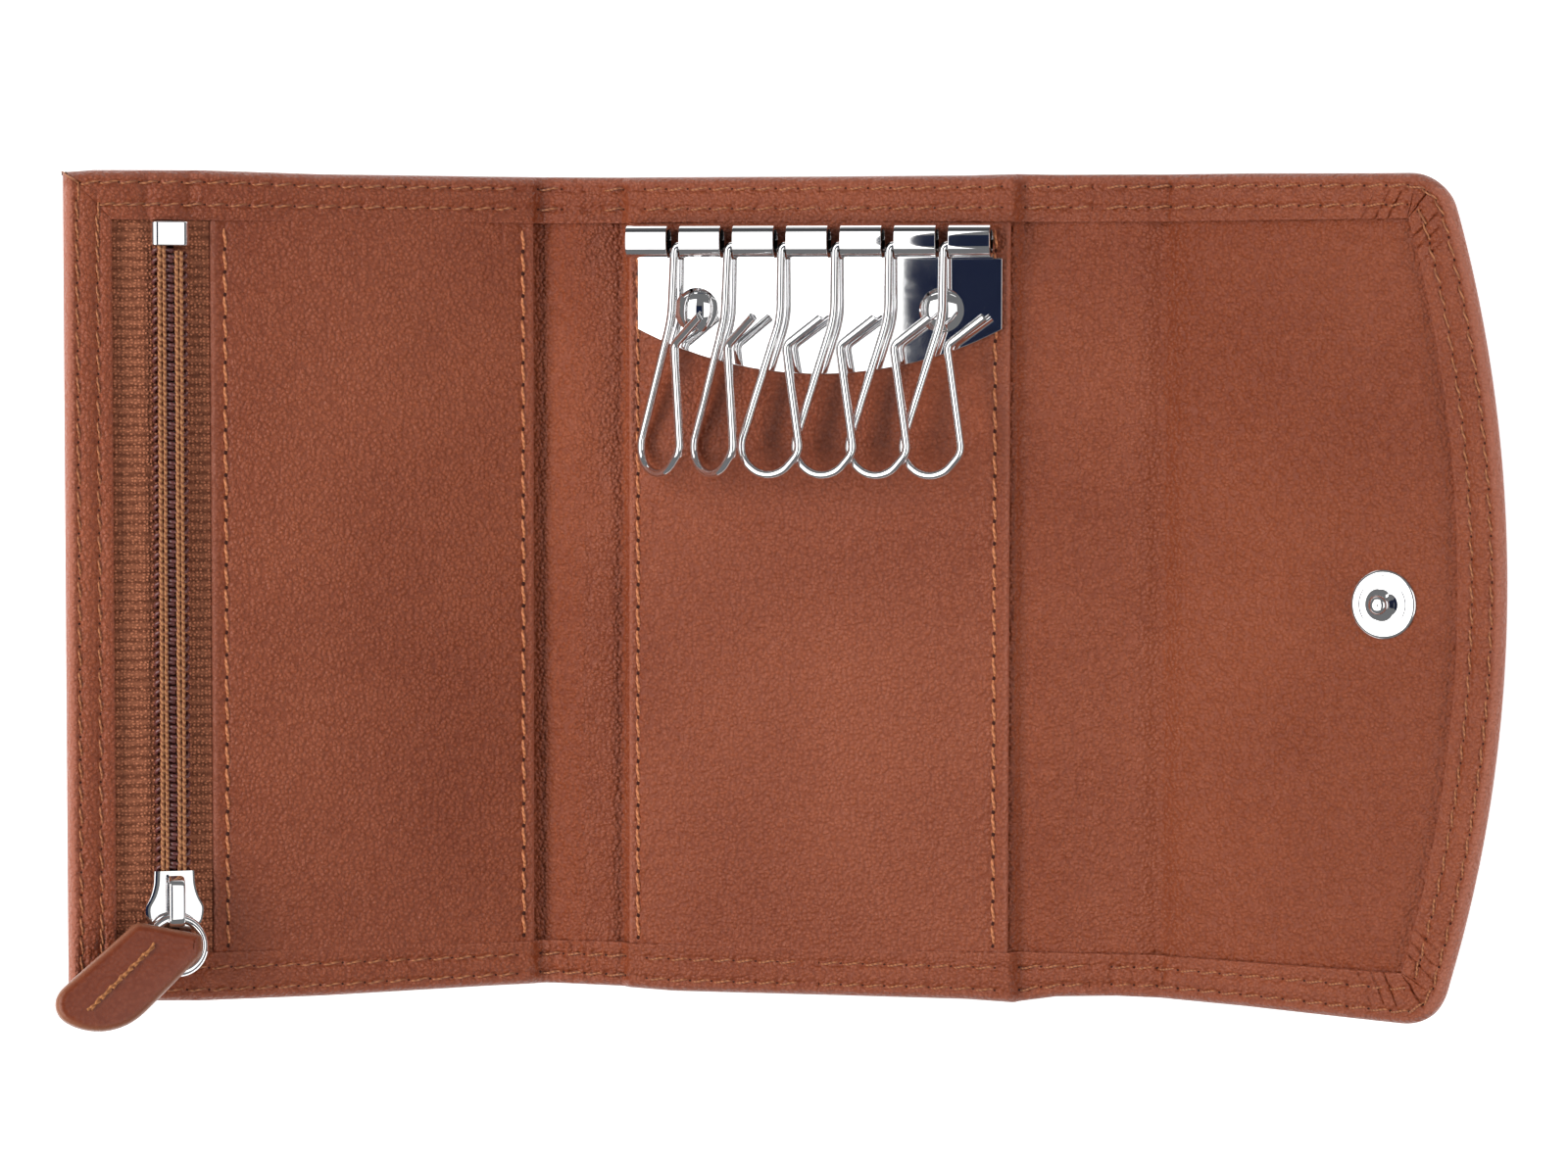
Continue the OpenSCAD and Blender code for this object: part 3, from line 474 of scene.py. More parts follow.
# %% Tape and plain finishes
def tape_weave(name, dark, pale):
    mat, tree, shader, coords = blank(name)
    stretch = tree.nodes.new("ShaderNodeMapping")
    stretch.inputs["Scale"].default_value = (1.0, 1.3, 1)
    tree.links.new(coords.outputs["UV"], stretch.inputs["Vector"])
    loops = texture(tree, "Voronoi", stretch.outputs["Vector"], Scale=1.85, Randomness=0.5)
    knots = spread(tree, loops.outputs["Distance"], 0.52, 0.12)
    ribs = texture(tree, "Wave", coords.outputs["UV"], Scale=0.2417, Distortion=1.2, Detail_Scale=2.0)
    ribs.bands_direction = "Y"
    fuzz = noise(tree, coords.outputs["Object"], 2600)
    height = total(tree, (knots, 0.75), (ribs.outputs["Fac"], 0.22), (fuzz, 0.25))
    # Painted shade and highlight: the colour follows the weave's height, darker in the gaps and paler on the knots.
    colour = mixed(tree, spread(tree, height, 0.0, 0.8), dark, pale)
    feed(tree, shader, Base_Color=colour, Roughness=0.7, Specular_IOR_Level=0.2)
    bumped(tree, shader, height, 0.9, 0.3)
    return mat


def plain(name, dark, pale, rough, grain_scale=1500, specular=0.5):
    mat, tree, shader, coords = blank(name)
    marks = noise(tree, coords.outputs["Object"], grain_scale)
    gloss = spread(tree, marks, 0.3, 0.7, rough, rough + 0.12)
    feed(tree, shader, Base_Color=mixed(tree, marks, dark, pale), Roughness=gloss, Specular_IOR_Level=specular)
    bumped(tree, shader, marks, 0.25, 0.05)
    return mat

# %% The finishes of this case
CHROME = metal("Bright plating", (242, 242, 243))
SEAM_THREAD = thread("Hem thread", (132, 76, 44), (184, 118, 76))
POCKET_THREAD = thread("Pocket thread", (164, 92, 50), (216, 140, 94))
PULL_THREAD = thread("Pull thread", (136, 78, 36), (196, 128, 76))
COIL_THREAD = thread("Coil thread", (124, 70, 38), (184, 126, 82))
TAPE = tape_weave("Zip tape", (78, 34, 18), (206, 130, 96))
COIL = plain("Coil filament", (82, 40, 40), (120, 70, 64), 0.18, 900, 1.0)
# Dark metal for the barrels' seam lines and, inside each roll, a sheet of painted shade.
DARK_SEAM_AND_SHADE = plain("Dark seam and painted shade", (16, 16, 20), (30, 30, 36), 0.35, 900)
# Dark discs in the needle holes, as painted shade.
HOLE_SHADE = plain("Painted shade in needle holes", (48, 18, 10), (64, 26, 14), 0.8)
CARD = plain("Fibre card", (150, 142, 128), (170, 162, 148), 0.85, 2500)
CLOTH = plain("Pocket cloth", (96, 54, 38), (116, 68, 50), 0.9, 2800)

# %% Finishing a piece
def piece(obj, mat, body=None, stands_for=(), fold=None):
    """Finishes a piece: its material and the body that it moves with; a piece given a fold only has its place baked in.
    """
    obj.data.materials.clear()
    obj.data.materials.append(mat)
    if fold:
        first, second, at = fold
        ends = lay(np.array([[at - 2.0, 0, 1.0], [at + 2.0, 0, 1.0]])) * MM
        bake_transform(obj)
    else:
        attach(obj, body)
    if stands_for:
        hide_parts(*stands_for)
    print(obj.name, len(obj.data.polygons), "faces")
    return obj


FOLDS = {
    "left": ("left_panel", "spine_1", FOLD_1B),
    "centre_left": ("spine_1", "centre", FOLD_1A),
    "centre_right": ("centre", "spine_2", FOLD_2A),
    "flap": ("spine_2", "flap", FOLD_2B),
}

# %% [markdown]
# ## The line that the hems follow
# Each hem is swept along the outline of the case. A line is stored as rows of numbers: the point, the
# direction inwards, how far round a flap corner it is (or -1), and the distance run. A curve object
# could be the line, but its bevel can't lean. Where two hems meet at a square corner, the inward
# direction leans over to the diagonal, as a mitred hem does.

# %% Outline paths
STEP = 0.35
MITRE = 12
FLAP_BULGE, CORNER_R = 8.8, 6.4
ARC_R = (HALF_H**2 + FLAP_BULGE**2) / (2 * FLAP_BULGE)
ARC_S = FLAP_EDGE - ARC_R
CORNER_Y = HALF_H - CORNER_R
CORNER_ANGLE = math.asin(CORNER_Y / (ARC_R - CORNER_R))
CORNER_S = ARC_S + (ARC_R - CORNER_R) * math.cos(CORNER_ANGLE)


def leg(start, end, inward, mitre_start=False, mitre_end=False):
    start, end = np.array(start, float), np.array(end, float)
    length = np.linalg.norm(end - start)
    t = np.linspace(0, length, math.ceil(length / STEP) + 1)
    along = (end - start) / length
    lean = mitre_start * np.clip(1 - t / MITRE, 0, None)
    lean = lean - mitre_end * np.clip(1 - (length - t) / MITRE, 0, None)
    return np.column_stack([start + t[:, None] * along, inward + lean[:, None] * along, 0 * t - 1])


def arc(centre, r, start, end, pleated):
    n = math.ceil(abs(end - start) * r / STEP) + 1
    a = np.linspace(start, end, n)
    out = np.column_stack([np.cos(a), np.sin(a)])
    return np.column_stack([centre + r * out, -out, np.linspace(0, 1, n) if pleated else 0 * a - 1])


def path(*legs):
    rows = np.concatenate([legs[0]] + [part[1:] for part in legs[1:]])
    return np.column_stack([rows, run_along(rows[:, :2])])

# %% The outline of each length
LEFT_PATH = path(
    leg((MID_SPINE_1, HALF_H), (LEFT_EDGE, HALF_H), (0, -1), mitre_end=True),
    leg((LEFT_EDGE, HALF_H), (LEFT_EDGE, -HALF_H), (1, 0), mitre_start=True, mitre_end=True),
    leg((LEFT_EDGE, -HALF_H), (MID_SPINE_1, -HALF_H), (0, 1), mitre_start=True),
)
FLAP_PATH = path(
    leg((MID_SPINE_2, -HALF_H), (CORNER_S, -HALF_H), (0, 1)),
    arc((CORNER_S, -CORNER_Y), CORNER_R, -math.pi / 2, -CORNER_ANGLE, True),
    arc((ARC_S, 0), ARC_R, -CORNER_ANGLE, CORNER_ANGLE, False),
    arc((CORNER_S, CORNER_Y), CORNER_R, CORNER_ANGLE, math.pi / 2, True),
    leg((CORNER_S, HALF_H), (MID_SPINE_2, HALF_H), (0, -1)),
)
STRAIGHT_PATHS = {
    "centre_left": [
        path(leg((0, HALF_H), (MID_SPINE_1, HALF_H), (0, -1))),
        path(leg((MID_SPINE_1, -HALF_H), (0, -HALF_H), (0, 1))),
    ],
    "centre_right": [
        path(leg((MID_SPINE_2, HALF_H), (0, HALF_H), (0, -1))),
        path(leg((0, -HALF_H), (MID_SPINE_2, -HALF_H), (0, 1))),
    ],
}
HEM_PATHS = {"left": [LEFT_PATH], **STRAIGHT_PATHS, "flap": [FLAP_PATH]}
print("left hem runs", round(LEFT_PATH[-1, 5], 1), "mm, flap hem", round(FLAP_PATH[-1, 5], 1), "mm")

# %% [markdown]
# ## Relief of the hems
# The two seams pull the hem down into shallow channels with a deeper dimple at every needle hole.
# Each fold leaves a crease across the hem, the spines gather it into fine wrinkles, and the leather
# that is turned round a flap corner has to lie in small pleats. All this could be a bump in the
# material, but it is drawn as height, so that it also shows from the side and in the mesh.

# %% Hem relief
ROWS = (1.65, 4.3)
PITCH = 3.0
ZIP_S = LEFT_EDGE + HEM_W + 7.55


def wrinkles(s, y):
    """Fine gathers across the hem where the spines bend, stronger along the lower edge."""
    low = ease(-y, 40, 50)
    one = ease(s, FOLD_1B - 1.5, FOLD_1B + 0.5) * (1 - ease(s, -31, -28)) * (0.6 + 0.8 * low)
    two = ease(s, 33, 38) * (1 - ease(s, 46.5, 49)) * (0.55 + 0.3 * low)
    waves = np.abs(np.sin(3.1 * s + 0.9 * np.sin(1.3 * y))) ** 0.7
    waves = waves + 0.6 * np.sin(2.3 * s + 1.1 + 0.8 * np.sin(0.9 * y))
    return 0.13 * (one + two) * (waves - 0.6)


def turns(line):
    """Where a path turns: the start and end of each rounded corner, or the point of a mitre."""
    t, rounded = line[:, 5], line[:, 4] >= 0
    flips = np.flatnonzero(np.diff(rounded.astype(int)))
    if len(flips):
        return list(zip(t[flips[::2] + 1], t[flips[1::2]]))
    steps = np.diff(line[:, :2], axis=0)
    square = np.abs(np.sum(steps[1:] * steps[:-1], axis=1)) < 0.01
    return [(t[k + 1], t[k + 1]) for k in np.flatnonzero(square)]


def groove(x, middle, width, depth):
    return -depth * np.exp(-np.abs((x - middle) / width) ** 1.5)


def corner_relief(line, t, d):
    """The diagonal of each corner, and the small pleats beside a rounded one."""
    z = 0 * t
    for start, end in turns(line):
        middle = (start + end) / 2
        z = z + groove(t, middle, 0.2, 0.42 if end > start else 0.12) * ease(d, 0.9, 2.2)
        if end > start:
            for k, away in enumerate((1.3, 3.0, 4.9, 6.9)):
                lean = 0.5 * (d - 3.4)
                fade = ease(d, 1.4 + 0.5 * (k % 2), 2.6) * (1 - 0.18 * k)
                z = z + groove(t, start - away - lean, 0.13, 0.36) * fade * (k < 3)
                z = z + groove(t, end + away + lean, 0.13, 0.36) * fade
            z = z + groove(t, start + 0.82 * (end - start), 0.2, 0.2) * ease(d, 1.6, 3.0)
    return z

# %% Relief over the whole hem
CHANNEL_W, CHANNEL_D = 0.42, 0.15
HOLE_L, HOLE_W, HOLE_D = 0.32, 0.34, 0.2
CREASE_W, CREASE_D, ZIP_END_W, ZIP_END_D, ZIP_END_S = 0.3, 0.3, 0.8, 0.42, 2.9
EDGE_FADE = 1.5


def both_rows(d, width):
    return bump(d, ROWS[0], width) + bump(d, ROWS[1], width)


def hem_relief(line, t, s, y, d):
    """Seams, needle holes, creases at the folds and gathers, as a height on the hem."""
    hole = bump((t + PITCH / 2) % PITCH - PITCH / 2, 0, HOLE_L)
    z = 0.1 * bump(d, 2.95, 0.8) + 0.05 * bump(d, 5.4, 0.5) - CHANNEL_D * both_rows(d, CHANNEL_W)
    z = z - HOLE_D * hole * both_rows(d, HOLE_W)
    z = z + 0.05 * np.sin(0.31 * s + 0.4) * np.sin(0.27 * y) + wrinkles(s, y)
    crossing = np.abs(y) > HALF_H - 8
    for fold in (FOLD_1A, FOLD_1B, FOLD_2A, FOLD_2B):
        z = z + groove(s, fold, CREASE_W, CREASE_D) * crossing
    for side in (-ZIP_END_S, ZIP_END_S):
        z = z + groove(s, ZIP_S + side, ZIP_END_W, ZIP_END_D) * crossing
    return z + corner_relief(line, t, d)


EDGE_SHIFT = np.array([
    (LEFT_EDGE, 0, 0), (-98, 0.35, 0), (-84, 0.5, -0.45), (-68, 0.15, -0.4), (-45, 0.1, 0.1), (-37, 0.1, 0.2),
    (-26.5, 0, 0), (-20, 0, -0.35), (0, 0, -0.35), (20, 0.05, -0.4), (26.5, 0.2, -0.7), (32, 0.1, 0.15),
    (40, 0.1, 0.45), (58, 0, 0.15), (74, -0.25, -0.35), (84, -0.35, -0.6), (FLAP_EDGE, 0, 0),
])


def edge_shift(s, y):
    """How far the sewn edge strays from straight, by up to 0.7 mm, fading out across the hem."""
    upper, lower = (np.interp(s, EDGE_SHIFT[:, 0], EDGE_SHIFT[:, k]) for k in (1, 2))
    share = ease(abs(y), HALF_H - HEM_W, HALF_H - EDGE_FADE)
    return np.where(y > 0, upper, lower) * share


def along_path(line, t, d):
    """The point of the unrolled case at a distance along a path and a distance in from the edge."""
    s, y, inward_s, inward_y = (np.interp(t, line[:, 5], line[:, k]) for k in range(4))
    return s + inward_s * d, y + inward_y * d

# %% [markdown]
# ## The cover leather
# The hem is one hide, turned over a rounded edge, so its section is a long thin C: outer face, edge,
# inner face, and the cut edge beside the lining. The section is swept along the outline. The plain
# outer face between the hems is a thin slab that bends at the folds.

# %% Hem section and sweep
COVER_T, COVER_GAP = 0.8, 0.1
SIDE_D = 1.15


def hem_section(h):
    """(inset, height) of the turned hide for a hem of height h, round the whole closed section."""
    a = np.linspace(-math.pi / 2, math.pi / 2, 13)
    outer = [(HEM_W + COVER_GAP, 0), (4.8, 0), (3.4, 0), (2.4, 0)]
    edge = [(SIDE_D * (1 - math.cos(v)), h / 2 * (1 + math.sin(v))) for v in a]
    top = [(d, h) for d in np.linspace(SIDE_D + 0.16, HEM_W - 0.18, 23)]
    cut = [(HEM_W - 0.06, h - 0.05), (HEM_W, h - 0.2), (HEM_W, h - COVER_T + 0.05)]
    inner = [(HEM_W - 0.3, h - COVER_T), (1.6, h - COVER_T), (1.0, h / 2), (1.6, COVER_T)]
    inner += [(HEM_W + COVER_GAP, COVER_T)]
    return np.array(outer + edge + top + cut + inner + outer[:1])


FINE_STEP, COARSE_STEP = 0.13, 0.34


def stations(line):
    """Distances along a path, closer together where the leather is gathered."""
    t, s = line[:, 5], line[:, 0]
    gathered = bump(s, -34.5, 6) + bump(s, 42, 7) > 0.35
    for start, end in turns(line):
        pleated = (t > start - 9) & (t < end + 9) & (end > start)
        gathered = gathered | pleated | (np.abs(t - start) < 1)
    steps = np.concatenate([[0], np.cumsum(np.diff(t) / np.where(gathered[1:], FINE_STEP, COARSE_STEP))])
    return np.interp(np.linspace(0, steps[-1], math.ceil(steps[-1])), steps, t)


BACK_SHARE = 0.6


def hem(name, line):
    """A hem along a path, with its relief, and less of it on the back."""
    run = stations(line)
    s0 = np.interp(run, line[:, 5], line[:, 0])
    heights = hem_level(s0)
    sections = np.stack([hem_section(h) for h in heights])
    d, z = sections[..., 0], sections[..., 1]
    s, y = along_path(line, run[:, None], d)
    relief = hem_relief(line, run[:, None] + 0 * d, s, y, d)
    back = (z < 0.01) * (d > 1.3) * BACK_SHARE * np.minimum(relief, 0)
    z = z + ease(z / heights[:, None], 0.7, 1.0) * relief - back
    # Paler along the rolled outer edge, partly stretched leather and partly a painted highlight, more on the left end
    # and the flap's edge than on the long edges; the cut edge beside the lining is paler in dashes.
    free_side = np.where(np.abs(y) > HALF_H - 2, 0.3, 0.8)
    dashes = 0.5 + 0.5 * np.sin(7 * run)[:, None]
    edge_tint_and_highlight = free_side * bump(d, 0.25, 0.75) * (d < 2) + (0.2 + 0.4 * dashes) * bump(d, HEM_W, 0.16)
    y = y + edge_shift(s, y)
    return grid_piece(name, lay(np.stack([s, y, z], axis=2)), edge_tint_and_highlight, 50)

# %% Slabs
def slab(name, s_lines, rows, low, high, half, right=None, relief=None, edge_tint_and_highlight=None):
    """A thin sheet between two heights, closed along its edges; its right side may follow a curve of y."""
    y = np.linspace(-1, 1, rows) * half
    u = np.array(s_lines, float)
    share = (u - u[0]) / (u[-1] - u[0])
    s = u[0] + share[:, None] * (right(y) - u[0]) if right else u[:, None] + 0 * y
    grid_y = np.broadcast_to(y, s.shape)
    top, bottom = ((v(s) if callable(v) else v) + 0 * s for v in (high, low))
    if relief:
        top = top + relief(s, grid_y)
    upper = np.stack([s, grid_y, top], axis=2)
    lower = np.stack([s, grid_y, bottom], axis=2)
    points = np.concatenate([upper, lower[:, ::-1], upper[:, :1]], axis=1)
    values = None if edge_tint_and_highlight is None else np.concatenate([edge_tint_and_highlight(s, grid_y), 0 * s, 0 * s[:, :1]], axis=1)
    return grid_piece(name, lay(points), values, 50)


def flap_limit(inset):
    """The flap's edge as a function of y, drawn in by a distance."""
    def limit(y):
        on_arc = ARC_S + np.sqrt((ARC_R - inset) ** 2 - y**2)
        r = max(CORNER_R - inset, 0)
        past = np.clip(abs(y) - CORNER_Y, 0, r)
        on_corner = CORNER_S + np.sqrt(r * r - past**2)
        return np.where(abs(y) > CORNER_Y + r * math.sin(CORNER_ANGLE), on_corner, on_arc)
    return limit

# %% Cover pieces
def near(fold, reach=2.6, n=14):
    return list(np.linspace(fold - reach, fold + reach, n))


FACE_HALF = HALF_H - HEM_W - 0.08
FACE_LINES = {
    "left": [LEFT_EDGE + HEM_W + COVER_GAP, -80, -60, -46, *near(FOLD_1B), MID_SPINE_1],
    "centre_left": [MID_SPINE_1, *near(FOLD_1A), -18, -8, 0],
    "centre_right": [0, 8, 18, *near(FOLD_2A), 32, MID_SPINE_2],
    "flap": [MID_SPINE_2, 41, *near(FOLD_2B), *np.linspace(54, FLAP_EDGE - HEM_W - COVER_GAP, 14)],
}
COVERS = dict(zip(FOLDS, (["cover_left"], ["cover_spine_1", "cover_centre"], ["cover_spine_2"], ["cover_flap"])))
for side, lines in FACE_LINES.items():
    limit = flap_limit(HEM_W + COVER_GAP) if side == "flap" else None
    parts = [slab(f"{side}_face", lines, 25, 0, COVER_T, FACE_HALF, limit)]
    parts += [hem(f"{side}_hem_{k}", line) for k, line in enumerate(HEM_PATHS[side])]
    piece(join(f"cover_leather_{side}", parts), CALF, stands_for=COVERS[side], fold=FOLDS[side])

# %% [markdown]
# ## The linings
# Thin leather shows on both spines and over the flap. It runs a little under its neighbours, and like
# the cover it is cut in the middle of each spine, so that every piece bends at one fold only. A cloth
# simulation could fold it, but a drawn sheet lies just where the CAD model has it.

# %% Linings
LINING_T, LINING_HALF, LINING_INSET = 0.5, 49.2, 5.4


def lining_top(s):
    return level(s, 1.3, 1.3, 2.1, 1.3, 1.8)


def lining_low(s):
    return lining_top(s) - LINING_T


def soft_crease(s, y):
    """The lining swells between its folds and has one soft crease before the flap."""
    spine = 0.45 * bump(s, MID_SPINE_1 - 0.6, 3.4) - 0.25 * bump(s, -27.4, 1.3) + 0.3 * bump(s, 34, 5.5)
    spine = spine + 0.25 * bump(s, 42.5, 2.2) - 0.45 * bump(s, 45.9, 1.6) + 0.2 * bump(s, 50, 2.5)
    return spine + 0.05 * np.sin(0.5 * s + 0.2 * y) * np.sin(0.11 * y + 1)


LINING_LINES = {
    "left": [-43, -41.6, *near(FOLD_1B, 2.0), -35.5, -34, MID_SPINE_1],
    "centre_left": [MID_SPINE_1, -31, -30, -29.2, *near(FOLD_1A, 2.0), -23.5],
    "centre_right": [23.5, *near(FOLD_2A, 2.0), 30, 32, 34, MID_SPINE_2],
    "flap": [MID_SPINE_2, 38, 40, 42, 43.3, *near(FOLD_2B, 2.4), 51, *np.linspace(53, FLAP_EDGE - LINING_INSET, 20)],
}
LININGS = dict(zip(FOLDS, ("lining_spine_1", "lining_centre", "lining_spine_2", "lining_flap")))
for side, lines in LINING_LINES.items():
    limit = flap_limit(LINING_INSET) if side == "flap" else None
    sheet = slab(f"lining_leather_{side}", lines, 61, lining_low, lining_top, LINING_HALF, limit, soft_crease)
    piece(sheet, LINING, stands_for=[LININGS[side]], fold=FOLDS[side])

# %% [markdown]
# ## The two pockets
# A pocket front is a separate piece of leather with turned edges. It is sewn down along its sides,
# so the seams pull it in and its edges stand up as soft rims that catch the light. A cube with a
# bevel would have the edges but not the pull, so the front is a slab with its own relief.

# %% Pocket fronts
POCKET_LOW, SHEET_HALF = 2.3, 49.6
SIDE_W, SIDE_DROP = 0.45, 0.38


def rounded(away):
    """How far a turned side drops, by the distance from its edge."""
    return SIDE_DROP * (np.sqrt(1 - (1 - np.clip(away / SIDE_W, 0, 1)) ** 2) - 1)


def pocket(name, start, end, rows):
    """A sewn pocket front with rounded sides."""
    def relief(s, y):
        hole = bump((y + PITCH / 2) % PITCH - PITCH / 2, 0, 0.42)
        z = rounded(s - start) + rounded(end - s)
        for row in rows:
            z = z - 0.1 * bump(s, row, 0.5) - 0.16 * hole * bump(s, row, 0.4)
        middle = np.sin(math.pi * np.clip((s - rows[0]) / (rows[1] - rows[0]), 0, 1))
        return z + 0.4 * middle + 0.03 * np.sin(0.35 * s + 0.13 * y)

    # Paler along both raised rims: partly leather turned round the edge and partly a painted highlight.
    def edge_tint_and_highlight(s, y):
        return 0.55 * bump(s, start, 0.5) + 0.5 * bump(s, end, 0.45)

    rim = [0, 0.06, 0.15, 0.3, SIDE_W]
    lines = [start + away for away in rim]
    lines += list(np.arange(start + 0.7, rows[0] + 1.2, 0.25))
    lines += list(np.linspace(rows[0] + 1.6, rows[1] - 1.6, 22))
    lines += list(np.arange(rows[1] - 1.2, end - 0.6, 0.25))
    lines += [end - away for away in rim[::-1]]
    return slab(name, lines, 197, POCKET_LOW, POCKET_H, SHEET_HALF, None, relief, edge_tint_and_highlight)


WINDOW = (LEFT_EDGE + HEM_W, LEFT_EDGE + HEM_W + 13.0)
COIN_ROWS = (WINDOW[1] + 1.95, FOLD_1B - 1.75)
SLIP_EDGES = (FOLD_1A + 0.35, FOLD_2A - 0.9)
SLIP_ROWS = (SLIP_EDGES[0] + 1.25, SLIP_EDGES[1] - 2.0)
coin_front = pocket("coin_pocket_front", WINDOW[1], FOLD_1B - 0.35, COIN_ROWS)
piece(coin_front, CALF, "left_panel", ["left_pocket_panel"])
slip_front = pocket("slip_pocket_front", *SLIP_EDGES, SLIP_ROWS)
piece(slip_front, CALF, "centre", ["centre_pocket_panel"])

# %% [markdown]
# ## Sewing
# Every seam is a row of short thread bows that dip into needle holes. An array along a curve could
# lay them, but the holes have to meet the dimples of the hem. So one bow is modelled from a tube and
# copied to computed places. Hem seams show on the back as well, and are copied there too.

# %% Stitches
def stitch_base(length, r, dip, crown):
    u = np.linspace(-0.5, 0.5, 7)
    rise = -dip + crown * np.abs(np.cos(u * math.pi)) ** 0.45
    bow = np.column_stack([u * length, 0.07 * np.sin(2 * math.pi * u), rise])
    return tube("stitch", bow, r * (0.75 + 0.25 * np.cos(u * math.pi)), sides=6, side=(0, 1, 0))


def hole_shade_base(size):
    ball = fresh(bpy.ops.mesh.primitive_uv_sphere_add, segments=8, ring_count=4, radius=1)
    return move_points(ball, lambda p: p * MM * size * (0.32, 0.24, 0.1))


SHORTEST, LONGEST, THREAD_LIFT = 1.2, 4.5, 0.02


def seam(name, places, mat, body, r=0.21, slant=0.07, hole=1.0, bow=(0.2, 0.36)):
    """Rows of bows, with a dark disc of painted shade in the needle hole at each start; places holds lists of starts,
    ends and ups.
    """
    starts, ends, up = (np.concatenate(rows) for rows in places)
    along = ends - starts
    length = np.linalg.norm(along, axis=1)
    keep = (length > SHORTEST) & (length < LONGEST)
    starts, along, up = starts[keep], along[keep], up[keep]
    along = unit(along)
    across = unit(np.cross(up, along))
    leaning = unit(along + slant * across)
    middle = starts + along * length[keep][:, None] / 2
    bows = scatter(name, stitch_base(PITCH * 0.9, r, *bow), middle, leaning, np.cross(up, leaning), up)
    holes = scatter(f"{name}_holes", hole_shade_base(hole), starts, along, across, up)
    for obj, finish in ((bows, mat), (holes, HOLE_SHADE)):
        piece(obj, finish, body, fold=FOLDS.get(body))
    return len(middle)


def hem_points(line, t, d, back=False):
    """Points on the hem's top or back, and the way that is up at each."""
    s, y = along_path(line, t, d + 0 * t)
    relief = hem_relief(line, t, s, y, d)
    z = (-BACK_SHARE * np.minimum(relief, 0) if back else hem_level(s) + relief) + 0 * s
    y = y + edge_shift(s, y)
    here = lay(np.column_stack([s, y, z]))
    above = lay(np.column_stack([s, y, z + (-1 if back else 1)]))
    return here, above - here

# %% Hem, pocket and corner seams
THREAD_SINK, SEAM_HALF = 0.18, 48
HEM_BOW = dict(r=0.14, slant=0.1, hole=0.85, bow=(0.1, 0.4))
count = 0
for side, lines in HEM_PATHS.items():
    for back in (False, True):
        bows = []
        for line in lines:
            t = np.arange(PITCH if side in ("left", "flap") else 0, line[-1, 5] - PITCH * 0.9, PITCH)
            for row in ROWS:
                a, up = hem_points(line, t, row, back)
                b, _ = hem_points(line, t + PITCH, row, back)
                bows.append((a + THREAD_LIFT * up, b + THREAD_LIFT * up, up))
            for corner, _ in turns(line) if side == "left" else ():
                tip, up = hem_points(line, np.array([corner]), 0.25, back)
                inner, _ = hem_points(line, np.array([corner]), ROWS[0], back)
                bows.append((tip, inner, up))
        name = f"hem_seam_{side}" + ("_back" if back else "")
        count += seam(name, zip(*bows), SEAM_THREAD, side, **HEM_BOW)
for name, rows, body in (("coin_seams", COIN_ROWS, "left_panel"), ("slip_seams", SLIP_ROWS, "centre")):
    y = np.arange(-SEAM_HALF, SEAM_HALF, PITCH)
    bows = []
    for row in rows:
        spots = np.column_stack([row + 0 * y, y, POCKET_H - THREAD_SINK + 0 * y])
        here, there, above = (lay(spots + shift) for shift in ((0, 0, 0), (0, PITCH, 0), (0, 0, 1)))
        bows.append((here, there, above - here))
    count += seam(name, zip(*bows), POCKET_THREAD, body)
print(count, "stitches")

# %% [markdown]
# ## The zip
# The tape is a ribbed ribbon. Each tooth of a coil is one turn of filament: it rises at the outer
# side, crosses to the middle, ends in a swollen head and returns below. Thread holds it to the tape.
# Teeth of the two rows alternate, so each is copied at a pitch of 1.3 mm with the other between. A
# helix would be one long spring; single turns give the flat, leaning teeth that a real coil shows.

# %% Tapes and coil
TAPE_Z, CHAIN_Z = 2.3, 2.7
TOOTH_PITCH = 1.3
CHAIN_TOP, CHAIN_BOTTOM = 45.1, -41.6
TAPE_T, TAPE_GAP = 0.32, 0.7


def ribs(s, y):
    return 0.05 * np.sin(2 * math.pi * y / TOOTH_PITCH) * np.sin(2 * math.pi * s / 2.1)


def tape(name, start, end):
    lines = np.arange(start, end + 0.01, 0.3)
    sheet = slab(name, lines, 250, TAPE_Z, TAPE_Z + TAPE_T, SHEET_HALF, relief=ribs)
    piece(sheet, TAPE, "left_panel", [name.replace("woven", "zip")])


tape("woven_tape_left", WINDOW[0] - 3, ZIP_S - TAPE_GAP)
tape("woven_tape_right", ZIP_S + TAPE_GAP, WINDOW[1] + 4)

# %% Coils and their threads
def tooth_base():
    """One turn of filament, from the tape up and round to the head in the middle and back."""
    line = [
        (-1.5, -0.42, 0.34), (-1.98, -0.42, 0.6), (-2.16, -0.22, 0.95), (-2.04, 0.12, 1.24), (-1.6, 0.34, 1.34),
        (-0.6, 0.16, 1.34), (0.1, 0.04, 1.3), (0.42, 0, 0.95), (0.1, -0.05, 0.55), (-1.4, -0.3, 0.36),
    ]
    r = [0.2, 0.27, 0.29, 0.28, 0.25, 0.24, 0.34, 0.37, 0.27, 0.2]
    return tube("tooth", line, r, sides=7, side=(0, 1, 0))


def bow_base(length, r):
    u = np.linspace(-0.5, 0.5, 6)
    line = np.column_stack([u * length, 0 * u, 0.12 * np.cos(u * math.pi)])
    return tube("bow", line, r, sides=6, side=(0, 1, 0))


X, Y, Z = np.eye(3)


